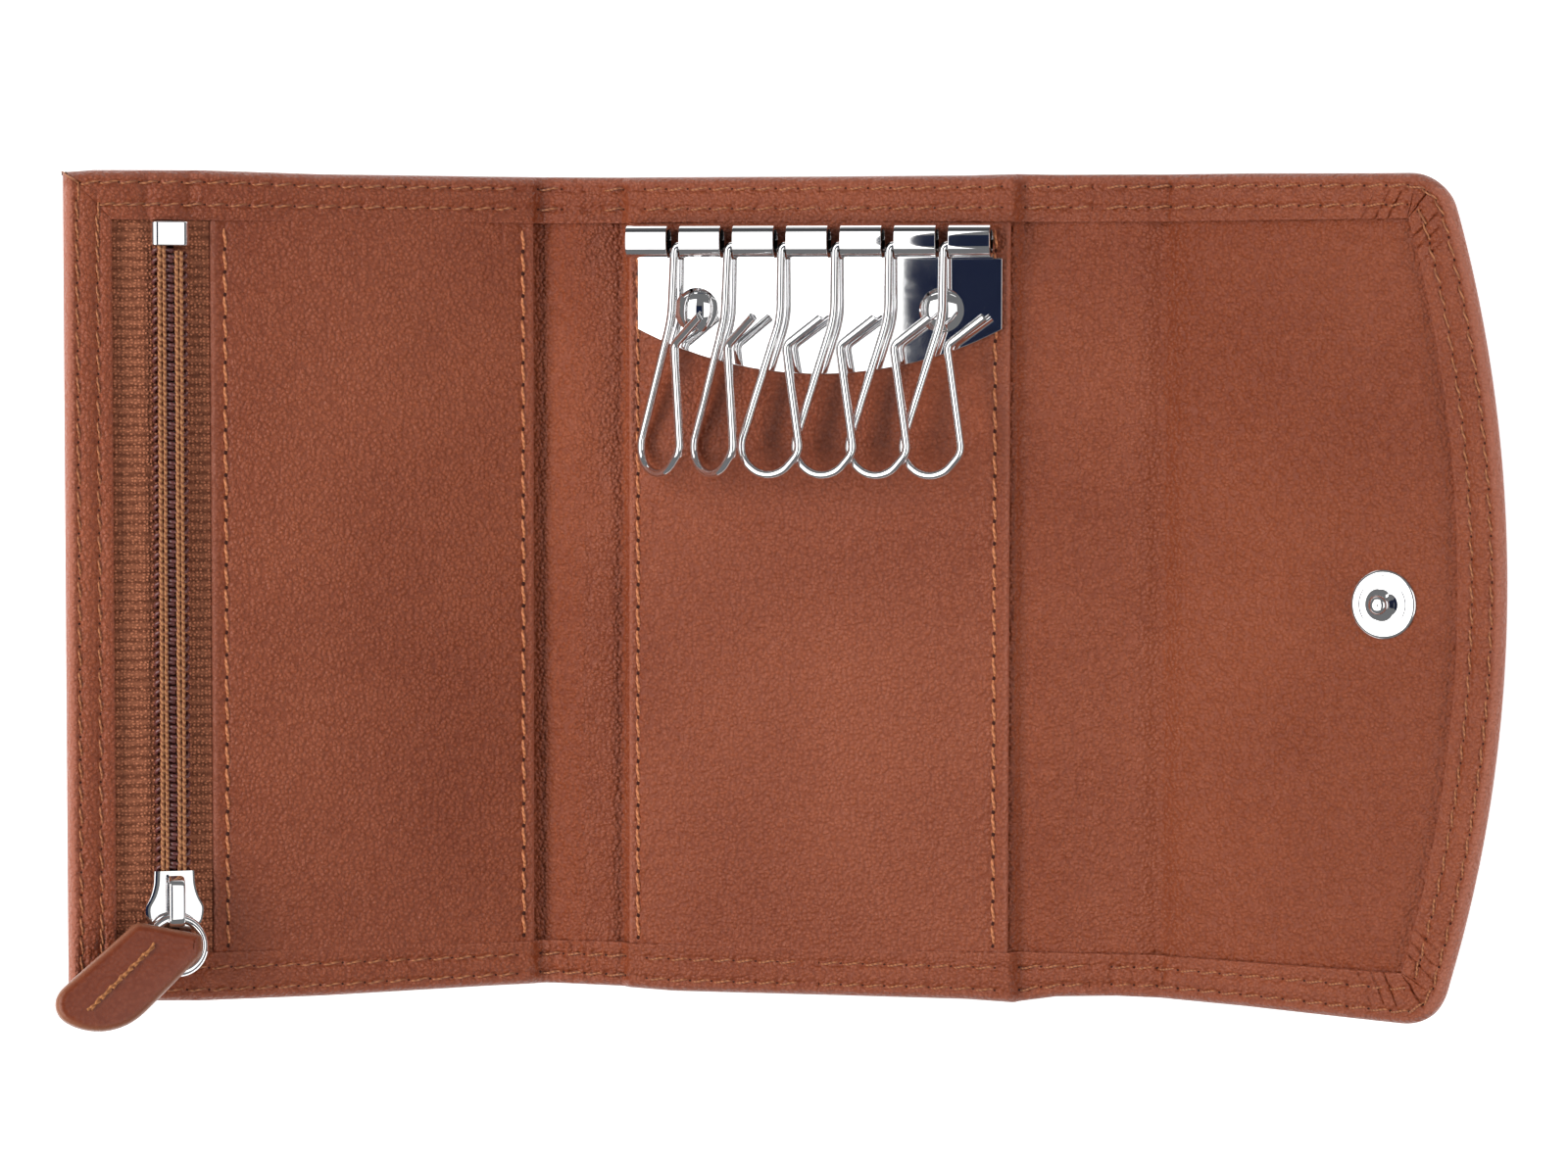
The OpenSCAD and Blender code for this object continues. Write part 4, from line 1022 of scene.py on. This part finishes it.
def zip_frames(spots, x_axis, y_axis):
    """Turns places and axes on the left panel into the world's."""
    base = lay(spots)
    axes = [lay(spots + axis) - base for axis in (x_axis, y_axis, np.cross(x_axis, y_axis))]
    return base, *axes


THREAD_S, THREAD_RISE, THREAD_R = 1.13, 1.6, 0.27
for side, sign, shift in (("left", 1, 0), ("right", -1, TOOTH_PITCH / 2)):
    y = np.arange(CHAIN_TOP - 0.4 - shift, CHAIN_BOTTOM, -TOOTH_PITCH)
    spots = np.column_stack([ZIP_S + 0 * y, y, CHAIN_Z + 0 * y])
    coil = scatter(f"coil_{side}", tooth_base(), *zip_frames(spots, X * sign, Y * sign))
    piece(coil, COIL, "left_panel", [f"zip_coil_{side}"])
    run = np.arange(y[0] + TOOTH_PITCH / 2, y[-1] - TOOTH_PITCH / 2, -TOOTH_PITCH / 8)
    swing = np.abs(np.sin(math.pi * (run - y[0]) / TOOTH_PITCH)) ** 0.8
    strands = []
    for way in (-1, 1):
        across = ZIP_S - sign * THREAD_S + way * (0.21 + 0.13 * swing)
        line = np.column_stack([across, run, CHAIN_Z + THREAD_RISE - 0.1 * swing])
        strands.append(tube("strand", lay(line), THREAD_R, sides=8))
    piece(join(f"coil_thread_{side}", strands), COIL_THREAD, "left_panel")

# %% [markdown]
# ## The metal of the zip
# The stop is a bent clip with soft corners. The slider is two waisted plates with walls between them
# and a bridge on top, which arches over the ring. The outline is a smooth curve through a few
# measured half widths. The bridge could be a bent box with bevelled edges; it is a rounded section
# swept along a smoothed arch, so that its roundness stays even where the arch turns.

# %% Zip stop
def on_left(points):
    """From the left panel's zip, measured from the zip's middle line, to the world."""
    return lay(np.asarray(points, float) + (ZIP_S, 0, 0))


STOP_Y, STOP_W, STOP_L, STOP_H = 47.0, 5.1, 3.2, 2.3
a = np.linspace(0, math.pi / 2, 7)
half_w, corner = STOP_W / 2, 0.95
arch = [(-half_w, 0)] + [(-half_w + corner * (1 - math.cos(v)), STOP_H - corner * (1 - math.sin(v))) for v in a]
arch += [(-x, z) for x, z in arch[::-1]]
stop = prism("zip_stop", arch, -STOP_L / 2, STOP_L / 2, 0.18)
move_points(stop, lambda p: on_left(np.column_stack([p[:, 0], STOP_Y - p[:, 2], CHAIN_Z + p[:, 1]])))
piece(stop, CHROME, "left_panel", ["zip_bottom_stop"])

# %% Slider
SLIDER_L, SLIDER_W, SLIDER_REAR = 7.6, 7.9, -37.5
SHARES = np.array([
    (0, 0.335), (0.23, 0.345), (0.39, 0.38), (0.53, 0.435), (0.62, 0.4925),
    (0.66, 0.5), (0.76, 0.49), (0.91, 0.46), (1, 0.38),
])
u = np.linspace(0, 1, 40)
half_widths = np.interp(u, SHARES[:, 0], SHARES[:, 1])
half_widths[2:-2] = np.convolve(half_widths, np.ones(5) / 5, "valid")
slider_side = [(w * SLIDER_W, -v * SLIDER_L) for v, w in zip(u, half_widths)]
slider_outline = slider_side + [(-x, y) for x, y in slider_side[::-1]]
SLIDER_TOP, PLATE_TOP, CROWN, NOSE_DROP, DOME = 4.5, 5.2, 0.07, 0.22, 0.12
across = np.linspace(-math.pi / 2, math.pi / 2, 21)
rows = []
for v, w in zip(u, half_widths * SLIDER_W):
    crown_z = PLATE_TOP - CROWN * np.sin(across) ** 2 - NOSE_DROP * max(v - 0.55, 0) ** 2
    z = SLIDER_TOP + (crown_z - SLIDER_TOP) * np.abs(np.cos(across)) ** DOME
    rows.append(np.column_stack([w * np.sin(across), -v * SLIDER_L + 0 * z, z])[np.arange(-21, 1)])
top_plate = grid_piece("top_plate", np.array(rows), sharp=50)
low_plate = prism("low_plate", slider_outline, 1.7, 2.2, 0.15)
WALL_T, WALL_LOW, WALL_HIGH = 0.5, 2.8, 4.6
wall = slider_side + [(x - WALL_T, y) for x, y in slider_side[::-1]]
walls = [
    prism("wall", wall, WALL_LOW, WALL_HIGH, 0.05),
    prism("wall", [(-x, y) for x, y in wall[::-1]], WALL_LOW, WALL_HIGH, 0.05),
    prism("wedge", [(-0.6, -7.2), (0.6, -7.2), (0.6, -5.2), (-0.6, -5.2)], 2.0, 4.7, 0.1),
]

# %% Bridge
BRIDGE_W, BRIDGE_HALF_T = 2.1, 0.36
rear, front = -0.75, -SLIDER_L + 0.35
arch_line = [
    (rear, 4.8), (rear - 0.02, 5.8), (rear - 0.15, 7.0), (rear - 0.6, 7.7), (rear - 1.2, 7.88), (rear - 2.0, 7.9),
    (front + 1.6, 7.9), (front + 0.9, 7.82), (front + 0.45, 7.5), (front + 0.32, 7.0), (front + 0.3, 5.8),
    (front + 0.3, 4.8),
]
dense = np.linspace(0, len(arch_line) - 1, 45)
arch_line = np.column_stack([np.interp(dense, range(len(arch_line)), np.array(arch_line)[:, k]) for k in (0, 1)])
for _ in range(2):
    arch_line[1:-1] = (arch_line[:-2] + 2 * arch_line[1:-1] + arch_line[2:]) / 4
along = unit(np.gradient(arch_line, axis=0))
outwards = np.column_stack([-along[:, 1], along[:, 0]])
a = np.linspace(0, 2 * math.pi, 29)
CORNERS = 0.45
wide, tall = (
    np.sign(v) * abs(v) ** CORNERS * half for v, half in ((np.cos(a), BRIDGE_W / 2), (np.sin(a), BRIDGE_HALF_T))
)
bridge_points = np.stack([
    np.column_stack([wide, p[0] + n[0] * tall, p[1] + n[1] * tall]) for p, n in zip(arch_line, outwards)
])
bridge = grid_piece("bridge", bridge_points, sharp=50)
slider = join("zip_slider", [top_plate, low_plate, *walls, bridge])
move_points(slider, lambda p: on_left(p + (0, SLIDER_REAR, 0)))
piece(slider, CHROME, "slider", ["slider_body"])

# %% Ring
RING_R, RING_WIRE = 3.6, 0.58
RING_Y, RING_Z = SLIDER_REAR - SLIDER_L + RING_WIRE + SLIDER_L * 0.09 + 0.2, 6.72
RING_RAISE = math.radians(14)


def turned(first, second, angle):
    """Two coordinates turned from the first towards the second."""
    c, k = math.cos(angle), math.sin(angle)
    return first * c - second * k, first * k + second * c


def on_ring(points):
    """From the ring's own plane, round its middle, to the world."""
    p = np.asarray(points, float) + (0, -RING_R, 0)
    y, z = turned(p[..., 1], p[..., 2], -RING_RAISE)
    return on_left(np.stack([p[..., 0], y + RING_Y, z + RING_Z], axis=-1))


ring = fresh(
    bpy.ops.mesh.primitive_torus_add,
    major_radius=RING_R * MM, minor_radius=RING_WIRE * MM, major_segments=72, minor_segments=24,
)
move_points(ring, on_ring)
ring.name = "wire_ring"
piece(smooth(ring), CHROME, "pull_ring", ["pull_ring"])

# %% [markdown]
# ## The leather pull
# The pull is leather folded over a filler, so it is thick, and its cut edges are rounded and painted.
# A row of crossed stitches runs down its middle. It could be an extruded outline with a bevel; here
# the outline is drawn in step by step instead, which also tells the finish where the paint is.

# %% Pull tab
TAB_W, TAB_L, TAB_T = 9.5, 17.6, 2.7
TAB_TURN = math.radians(47)


def tab_point(along, across):
    """From the pull's own length and width to the ring's plane."""
    return turned(across, -along, -TAB_TURN)


right_side = TAB_W * 0.34
top_left, top_right = (-0.56 * TAB_W, 0.345 * TAB_W), (0.34 * TAB_W, 0.14 * TAB_W)
shoulder = (right_side * math.cos(TAB_TURN) - top_right[0]) / math.sin(TAB_TURN)
outline = [top_left, top_right, tab_point(shoulder, right_side)]
NOSE_R, CHIN_R, NOSE_TURN = 8.5, 2.8, math.radians(76)


def round_by(middle, r, angle):
    return middle + r * np.array([math.sin(angle), math.cos(angle)])


nose = np.array([TAB_L - NOSE_R * math.sin(NOSE_TURN), right_side - NOSE_R])
chin = round_by(nose, NOSE_R - CHIN_R, NOSE_TURN)
outline += [tab_point(*round_by(nose, NOSE_R, v)) for v in np.linspace(0, NOSE_TURN, 16)]
outline += [tab_point(*round_by(chin, CHIN_R, v)) for v in np.linspace(NOSE_TURN, math.pi, 14)[1:]]
centre = np.mean(outline, axis=0)


def ring_of(inset, z, points):
    """The outline drawn in by a distance, at a height."""
    p = np.array(points)
    edge = np.roll(p, -1, 0) - np.roll(p, 1, 0)
    inward = unit(np.column_stack([edge[:, 1], -edge[:, 0]]))
    inward *= np.sign(np.sum(inward * (centre - p), axis=1))[:, None]
    return np.column_stack([p + inset * inward, z + 0 * p[:, 0]])


def rounded_outline(points, n=150, passes=5):
    """The outline with points at an even spacing and its corners eased."""
    loop = np.array(points + points[:1])
    run = run_along(loop)
    even = np.linspace(0, run[-1], n + 1)[:-1]
    p = np.column_stack([np.interp(even, run, loop[:, k]) for k in (0, 1)])
    for _ in range(passes):
        p = (np.roll(p, 1, 0) + 2 * p + np.roll(p, -1, 0)) / 4
    return [tuple(q) for q in p]


tab_loop = rounded_outline(outline)
half_t = TAB_T / 2
profile = [
    (0.9, -half_t), (0.6, -half_t + 0.05), (0.25, -half_t + 0.3), (0.05, -0.6), (0, -0.2), (0, 0.3), (0.06, 0.7),
    (0.22, half_t - 0.36), (0.45, half_t - 0.16), (0.7, half_t - 0.06), (0.95, half_t - 0.02), (1.2, half_t),
]
rings = np.array([ring_of(d, z, tab_loop) for d, z in profile])
rings = np.concatenate([rings, rings[:, :1]], axis=1).transpose(1, 0, 2)
# Here the edge value marks the pull's edge paint, which is its own colour.
edge_tint_and_highlight = np.broadcast_to(np.array([0.1, 0.3, 0.8, 1, 1, 1, 1, 0.9, 0.5, 0.15, 0, 0]), rings.shape[:2])
tab = grid_piece("leather_pull", rings, edge_tint_and_highlight, 40)
move_points(tab, on_ring)
piece(tab, GLAZED, "pull_tab", ["pull_tab", "pull_tab_filler"])

# %% Stitches of the pull
crosses = []
STITCH_RUN, STITCH_ACROSS = np.linspace(3.4, 13.4, 6), -2.2
for turn_by in (0.16, -0.2):
    spots = np.array([(*tab_point(r + turn_by, STITCH_ACROSS), half_t + 0.02) for r in STITCH_RUN])
    lean = np.array([-math.sin(TAB_TURN + turn_by), -math.cos(TAB_TURN + turn_by), 0])
    base = on_ring(spots)
    axes = [on_ring(spots + axis) - base for axis in (lean, np.cross(Z, lean), Z)]
    crosses.append(scatter("cross", bow_base(2.1, 0.19), base, *axes))
piece(join("pull_stitches", crosses), PULL_THREAD, "pull_tab")

# %% [markdown]
# ## The key row
# A bright plate is rolled over along its upper edge into seven barrels, with a slot for a hook
# between each two. Every barrel is an open roll, and its seam shows as a fine line. Two domed rivets
# hold the plate. Plate and barrels are extruded outlines with their edges bevelled, and their shading
# is evened, because a mirror shows every uneven normal.

# %% Plate, barrels and rivets
ROW_S, PLATE_S, BARREL_Y, BARREL_R, PLATE_T = -1.2, -0.1, 46.3, 2.25, 0.7
PLATE_Z = POCKET_H
BARREL_Z = PLATE_Z + BARREL_R
HOOK_PITCH, SLOT_W = 7.25, 1.7
PLATE_HALF, PLATE_SIDE, PLATE_BULGE, PLATE_DROP = 24.7, 11.75, 6, 2.3


def ball_radius(half, rise):
    """The radius of a circle or ball that rises so much over half its width."""
    return (half**2 + rise**2) / (2 * rise)


arc_r = ball_radius(PLATE_HALF, PLATE_BULGE)
end_a = math.asin(PLATE_HALF / arc_r)
plate_outline = [
    (arc_r * math.sin(v), arc_r * (1 - math.cos(v)) - PLATE_SIDE - PLATE_BULGE) for v in np.linspace(-end_a, end_a, 48)
]
plate_outline += [(PLATE_HALF, -PLATE_DROP), (-PLATE_HALF, -PLATE_DROP)]
plate_outline = [(PLATE_S + x, BARREL_Y + y) for x, y in plate_outline]
plate_parts = [prism("plate", plate_outline, PLATE_Z, PLATE_Z + PLATE_T, 0.12)]
ROLL_START, ROLL_END, FLATNESS = -86, 232, 2.8
roll = np.radians(np.linspace(ROLL_START, ROLL_END, 52))
squared = (np.abs(np.cos(roll)) ** FLATNESS + np.abs(np.sin(roll)) ** FLATNESS) ** (-1 / FLATNESS)


def rolled(r_outer, r_inner):
    """The section of a roll of sheet, a little flat on top."""
    ring = np.column_stack([np.cos(roll), np.sin(roll)]) * squared[:, None]
    return [tuple(p) for p in np.concatenate([r_outer * ring, r_inner * ring[::-1]])]


half_l, inner_r = (HOOK_PITCH - SLOT_W) / 2, BARREL_R - PLATE_T
SEAM_LINE = [(1.4, 2.0), (1.4, 2.1), (1.53, 2.07), (1.53, 1.97)]
shades = []
for k in range(7):
    middle = ROW_S + (k - 3) * HOOK_PITCH
    start = max(-half_l, PLATE_S - PLATE_HALF - middle)
    foot = [(start, -2.4), (half_l, -2.4), (half_l, 0.2), (start, 0.2)]
    barrel = prism("barrel", rolled(BARREL_R, inner_r), -half_l, half_l, 0.09, 2, 30)
    neck = prism("neck", foot, PLATE_Z, PLATE_Z + PLATE_T - 0.01)
    # A dark sheet just inside each roll is painted shade in its hollow; the thin line is the roll's seam.
    shade = prism("shade", rolled(inner_r - 0.01, inner_r - 0.1), -half_l + 0.25, half_l - 0.25)
    line = prism("line", SEAM_LINE, -half_l + 0.02, half_l - 0.02)
    for part in (barrel, shade, line):
        move_points(part, lambda p: np.column_stack([middle + p[:, 2], BARREL_Y + p[:, 0], BARREL_Z + p[:, 1]]))
    move_points(neck, lambda p: p + (middle, BARREL_Y, 0))
    plate_parts += [close_skin(barrel), close_skin(neck)]
    shades += [close_skin(shade), close_skin(line)]
piece(join("key_row_plate", plate_parts), CHROME, "centre", ["key_plate"])
piece(join("barrel_seams_and_painted_shade", shades), DARK_SEAM_AND_SHADE, "centre")

# %% Rivets
DOME_R, DOME_H, RIVET_S, RIVET_DROP = 3.0, 1.2, 16.6, 9.2
ball_r = ball_radius(DOME_R, DOME_H)
dome = [
    (ball_r * math.sin(v), DOME_H - ball_r * (1 - math.cos(v))) for v in np.linspace(0.05, math.asin(DOME_R / ball_r), 14)
]
dome = [(0, DOME_H), *dome, (DOME_R - 0.1, -0.04), (1.4, -0.04), (1.4, -2.9), (0, -2.9)]
rivets = []
for sign in (-1, 1):
    place = (PLATE_S + sign * RIVET_S, BARREL_Y - RIVET_DROP, PLATE_Z + PLATE_T)
    rivets.append(move_points(lathe("rivet", dome), lambda p: p + place))
piece(join("domed_rivets", rivets), CHROME, "centre", ["key_plate_rivets"])

# %% [markdown]
# ## The six hooks
# Each hook is one spring wire: a crossbar in the barrels, a stem, a pear-shaped loop and a tail that
# springs against the stem. Straight lengths are joined by true bends, and the loop is turned about
# the stem as it hangs on the real one. Four hooks lap over each other and two are turned further.
# A curve with handles would be softer, but wire bent on pins has straight lengths and true arcs.

# %% Hooks
HOOK_W, HOOK_L, WIRE_R = 9.28, 30.6, 0.6
BAR_DROP, BAR_RISE = 0.6, 0.5
HEAD = [(0.28, 0), (0, 0), (0, 0.16)]
LOOP = [(0, 0.16), (0, 0.317), (-0.73, 1), (0.038, 1), (0.325, 0.9), (0.088, 0.436), (0.631, 0.317)]
HEAD_BENDS = [0, 0.08, 0]
LOOP_BENDS = [0, 1.29, 0.42, 0.42, 0.26, 0.14, 0]


def bent_wire(shares, bends, step=math.radians(5)):
    """Points along straight lengths joined by bends, in the hook's own plane."""
    p = np.array([(x * HOOK_W, -y * HOOK_L) for x, y in shares])
    r = np.array(bends) * HOOK_W
    out = [p[0]]
    for k in range(1, len(p) - 1):
        before, after = p[k] - p[k - 1], p[k + 1] - p[k]
        before, after = before / np.linalg.norm(before), after / np.linalg.norm(after)
        angle = math.atan2(before[0] * after[1] - before[1] * after[0], before @ after)
        start = p[k] - before * r[k] * math.tan(abs(angle) / 2)
        bend_r = math.copysign(r[k], angle)
        middle = start + np.array([-before[1], before[0]]) * bend_r
        heading = math.atan2(before[1], before[0])
        pieces = max(math.ceil(abs(angle) / step), 1)
        for v in [heading + angle * j / pieces for j in range(pieces + 1)]:
            out.append(middle + np.array([math.sin(v), -math.cos(v)]) * bend_r)
    return np.array(out + [p[-1]])


def hook(number):
    """A hook at its place in the row; the first two are turned and lean a little."""
    twist, lean, tilt = np.radians((-40, -1.7, -4) if number <= 2 else (-12, 0, -4))
    head = bent_wire(HEAD, HEAD_BENDS)[:-1]
    loop = bent_wire(LOOP, LOOP_BENDS)[1:]
    x, z = turned(loop[:, 0], 0, -twist)
    line = np.concatenate([np.column_stack([head, 0 * head[:, 0]]), np.column_stack([x, loop[:, 1], z])])
    steps = run_along(line)
    even = np.unique(np.concatenate([steps, np.arange(0, steps[-1], 0.8)]))
    even = even[np.concatenate([[True], np.diff(even) > 0.02])]
    line = np.column_stack([np.interp(even, steps, line[:, k]) for k in range(3)])
    normal = np.array([math.sin(twist), 0, math.cos(twist)])
    obj = tube(f"spring_hook_{number}", line, WIRE_R, sides=20, side=normal, sharp=50)

    def place(p):
        x, y = turned(p[:, 0], p[:, 1], lean)
        y, z = turned(y, p[:, 2], tilt)
        x = x + ROW_S + (number - 3.5) * HOOK_PITCH
        return np.column_stack([x, y + BARREL_Y - BAR_DROP, z + BARREL_Z + BAR_RISE])

    move_points(obj, place)
    piece(obj, CHROME, f"hook_{number}", [f"key_hook_{number}"])


for number in range(1, 7):
    hook(number)

# %% [markdown]
# ## The press stud
# Three turned pieces show of the snap: a stud with its ball on the flap, a domed cap behind it, and
# on the back of the left panel the socket that it clicks into. Each is a lathe profile with small
# steps and rounded rims, because these fine lines are what shows. The socket's spring and post stay
# as the CAD model has them.

# %% Stud, cap and socket
SNAP_Y, STUD_S, SOCKET_S = -1, FOLD_2B + 30.4, FOLD_1B - 37.93
STUD = [
    (0, 1.75), (4.3, 1.75), (4.46, 1.85), (4.46, 2.0), (4.3, 2.14), (4.1, 2.18), (3.86, 2.18), (3.8, 2.1), (3.74, 2.18),
    (3.3, 2.2), (3.22, 2.02), (3.14, 2.02), (3.06, 2.2), (2.4, 2.22), (1.95, 2.28), (1.7, 2.44), (1.4, 2.55), (1.1, 2.7),
    (1.0, 2.95), (1.08, 3.2), (1.24, 3.45), (1.3, 3.75), (1.28, 3.95), (1.18, 4.2), (1.0, 4.38), (0.7, 4.5),
    (0.25, 4.55), (0.12, 4.5), (0, 4.5),
]
CAP = [
    (0, 0.02), (5.3, 0.02), (5.5, -0.08), (5.42, -0.3), (5.0, -0.52), (4.0, -0.8), (2.6, -1.0), (1.2, -1.08), (0, -1.1),
]
SOCKET = [
    (1.42, -2.45), (1.6, -2.6), (3.0, -2.6), (3.2, -2.5), (3.25, -2.32), (4.4, -2.3), (4.6, -2.15), (4.6, -0.12),
    (4.48, 0), (1.55, 0), (1.55, -0.4), (1.42, -0.45), (1.42, -1.8), (1.75, -1.85), (1.75, -2.38), (1.42, -2.45),
]
for name, profile, place_s, body, node in (
    ("press_stud", STUD, STUD_S, "flap", "snap_stud"),
    ("stud_cap_dome", CAP, STUD_S, "flap", "stud_cap"),
    ("press_socket", SOCKET, SOCKET_S, "left_panel", "snap_socket"),
):
    turned_part = move_points(lathe(name, profile), lambda p: lay(p + (place_s, SNAP_Y, 0)))
    piece(turned_part, CHROME, body, [node])

# %% [markdown]
# ## The pieces inside
# Card, cloth, washers and the other parts that hardly show stay as the CAD model has them, because a
# finer mesh wouldn't be seen. Each gets the finish that it would have.

# %% Finish of the carried-over parts
KEPT = {
    "board_left": CARD, "board_centre": CARD, "board_flap": CARD, "zip_pocket_bag": CLOTH,
    "zip_top_stops": CHROME, "rivet_washers": CHROME, "socket_spring": CHROME, "socket_post": CHROME,
}
for name, mat in KEPT.items():
    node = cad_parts[name]
    node.data.materials.clear()
    node.data.materials.append(mat)

# %% [markdown]
# ## Floor, light and background
# The photograph has a pure white ground and soft light from above. The floor stays a plain pale
# surface that keeps the shadow, and only camera, mirror and glass rays see it lifted to white.
# Two large soft lamps, one at each side, light the leather. Metal shows what stands round it, so
# it gets two bright boards and a dark card high above, which nothing but mirrors can see.

# %% Floor and world
def rays(tree, *kinds):
    """1 for rays of the named kinds, and 0 for all others."""
    light_path = tree.nodes.new("ShaderNodeLightPath")
    seen, *others = (light_path.outputs[f"Is {kind} Ray"] for kind in kinds)
    for other in others:
        seen = maths(tree, "MAXIMUM", seen, other)
    return seen


FLOOR_Z, FLOOR_LIFT = -0.0002, 0.6
PALE = (0.8, 0.8, 0.8, 1)
SKY_ON_LEATHER, SKY_IN_METAL = 0.17, 0.12
floor = fresh(bpy.ops.mesh.primitive_plane_add, size=6, location=(0, 0, FLOOR_Z))
floor.name = "floor"
mat, tree, shader, coords = blank("Floor")
lift = maths(tree, "MULTIPLY", rays(tree, "Camera", "Glossy", "Transmission"), FLOOR_LIFT)
feed(tree, shader, Base_Color=PALE, Roughness=0.9, Emission_Color=(1, 1, 1, 1), Emission_Strength=lift)
floor.data.materials.append(mat)

world = bpy.data.worlds.new("Studio")
bpy.context.scene.world = world
world.use_nodes = True
tree = world.node_tree
sky = tree.nodes["Background"]
sky.inputs["Color"].default_value = (0.97, 0.98, 1, 1)
mirrored = maths(tree, "MULTIPLY", rays(tree, "Glossy"), SKY_IN_METAL)
seen = maths(tree, "MAXIMUM", rays(tree, "Camera", "Transmission"), mirrored)
tree.links.new(maths(tree, "MAXIMUM", seen, SKY_ON_LEATHER), sky.inputs["Strength"])

# %% Lamps and boards
def lamp(name, place, size, power):
    """A soft box that points at the middle of the case and doesn't show in metal."""
    light = fresh(bpy.ops.object.light_add, type="AREA", location=place)
    light.name = name
    light.data.shape, light.data.size, light.data.size_y = "RECTANGLE", *size
    light.data.energy = power
    light.visible_camera = light.visible_glossy = False
    away = np.array(LAMP_AIM) - np.array(place)
    pitch = math.atan2(np.hypot(*away[:2]), -away[2])
    light.rotation_euler = (0, -pitch, math.atan2(away[1], away[0]))


LAMP_AIM = (0, 0.03, 0)
lamp("Left soft box", (-0.46, 0.03, 0.42), (0.24, 0.9), 4.9)
lamp("Right soft box", (0.53, 0.03, 0.37), (0.2, 0.9), 3.0)


def reflected_card(name, corner, opposite, mat):
    """A flat board over the table that only mirrors can see."""
    board = fresh(bpy.ops.mesh.primitive_plane_add, size=1)
    board.name = name
    for vertex, (x, y) in zip(board.data.vertices, [(x, y) for y in (0, 1) for x in (0, 1)]):
        vertex.co = ((corner, opposite)[x][0], (corner, opposite)[y][1], CARD_Z)
    board.data.materials.append(mat)
    board.visible_camera = board.visible_diffuse = board.visible_shadow = False


def glowing(name, strength):
    mat, tree, shader, coords = blank(name)
    feed(tree, shader, Base_Color=PALE, Emission_Color=(1, 0.99, 0.97, 1), Emission_Strength=strength)
    return mat


CARD_Z = 2.0
reflected_card("left_board", (-2.4, -1.3), (-0.272, 1.7), glowing("Left board", 1.8))
reflected_card("right_board", (0.75, -1.0), (2.6, 1.2), glowing("Right board", 1.1))
reflected_card("dark_card", (-0.271, -0.6), (0.5, 0.6), plain("Dark card", (46, 58, 96), (58, 70, 108), 0.9, 20))

# %% The end
bpy.context.view_layer.update()
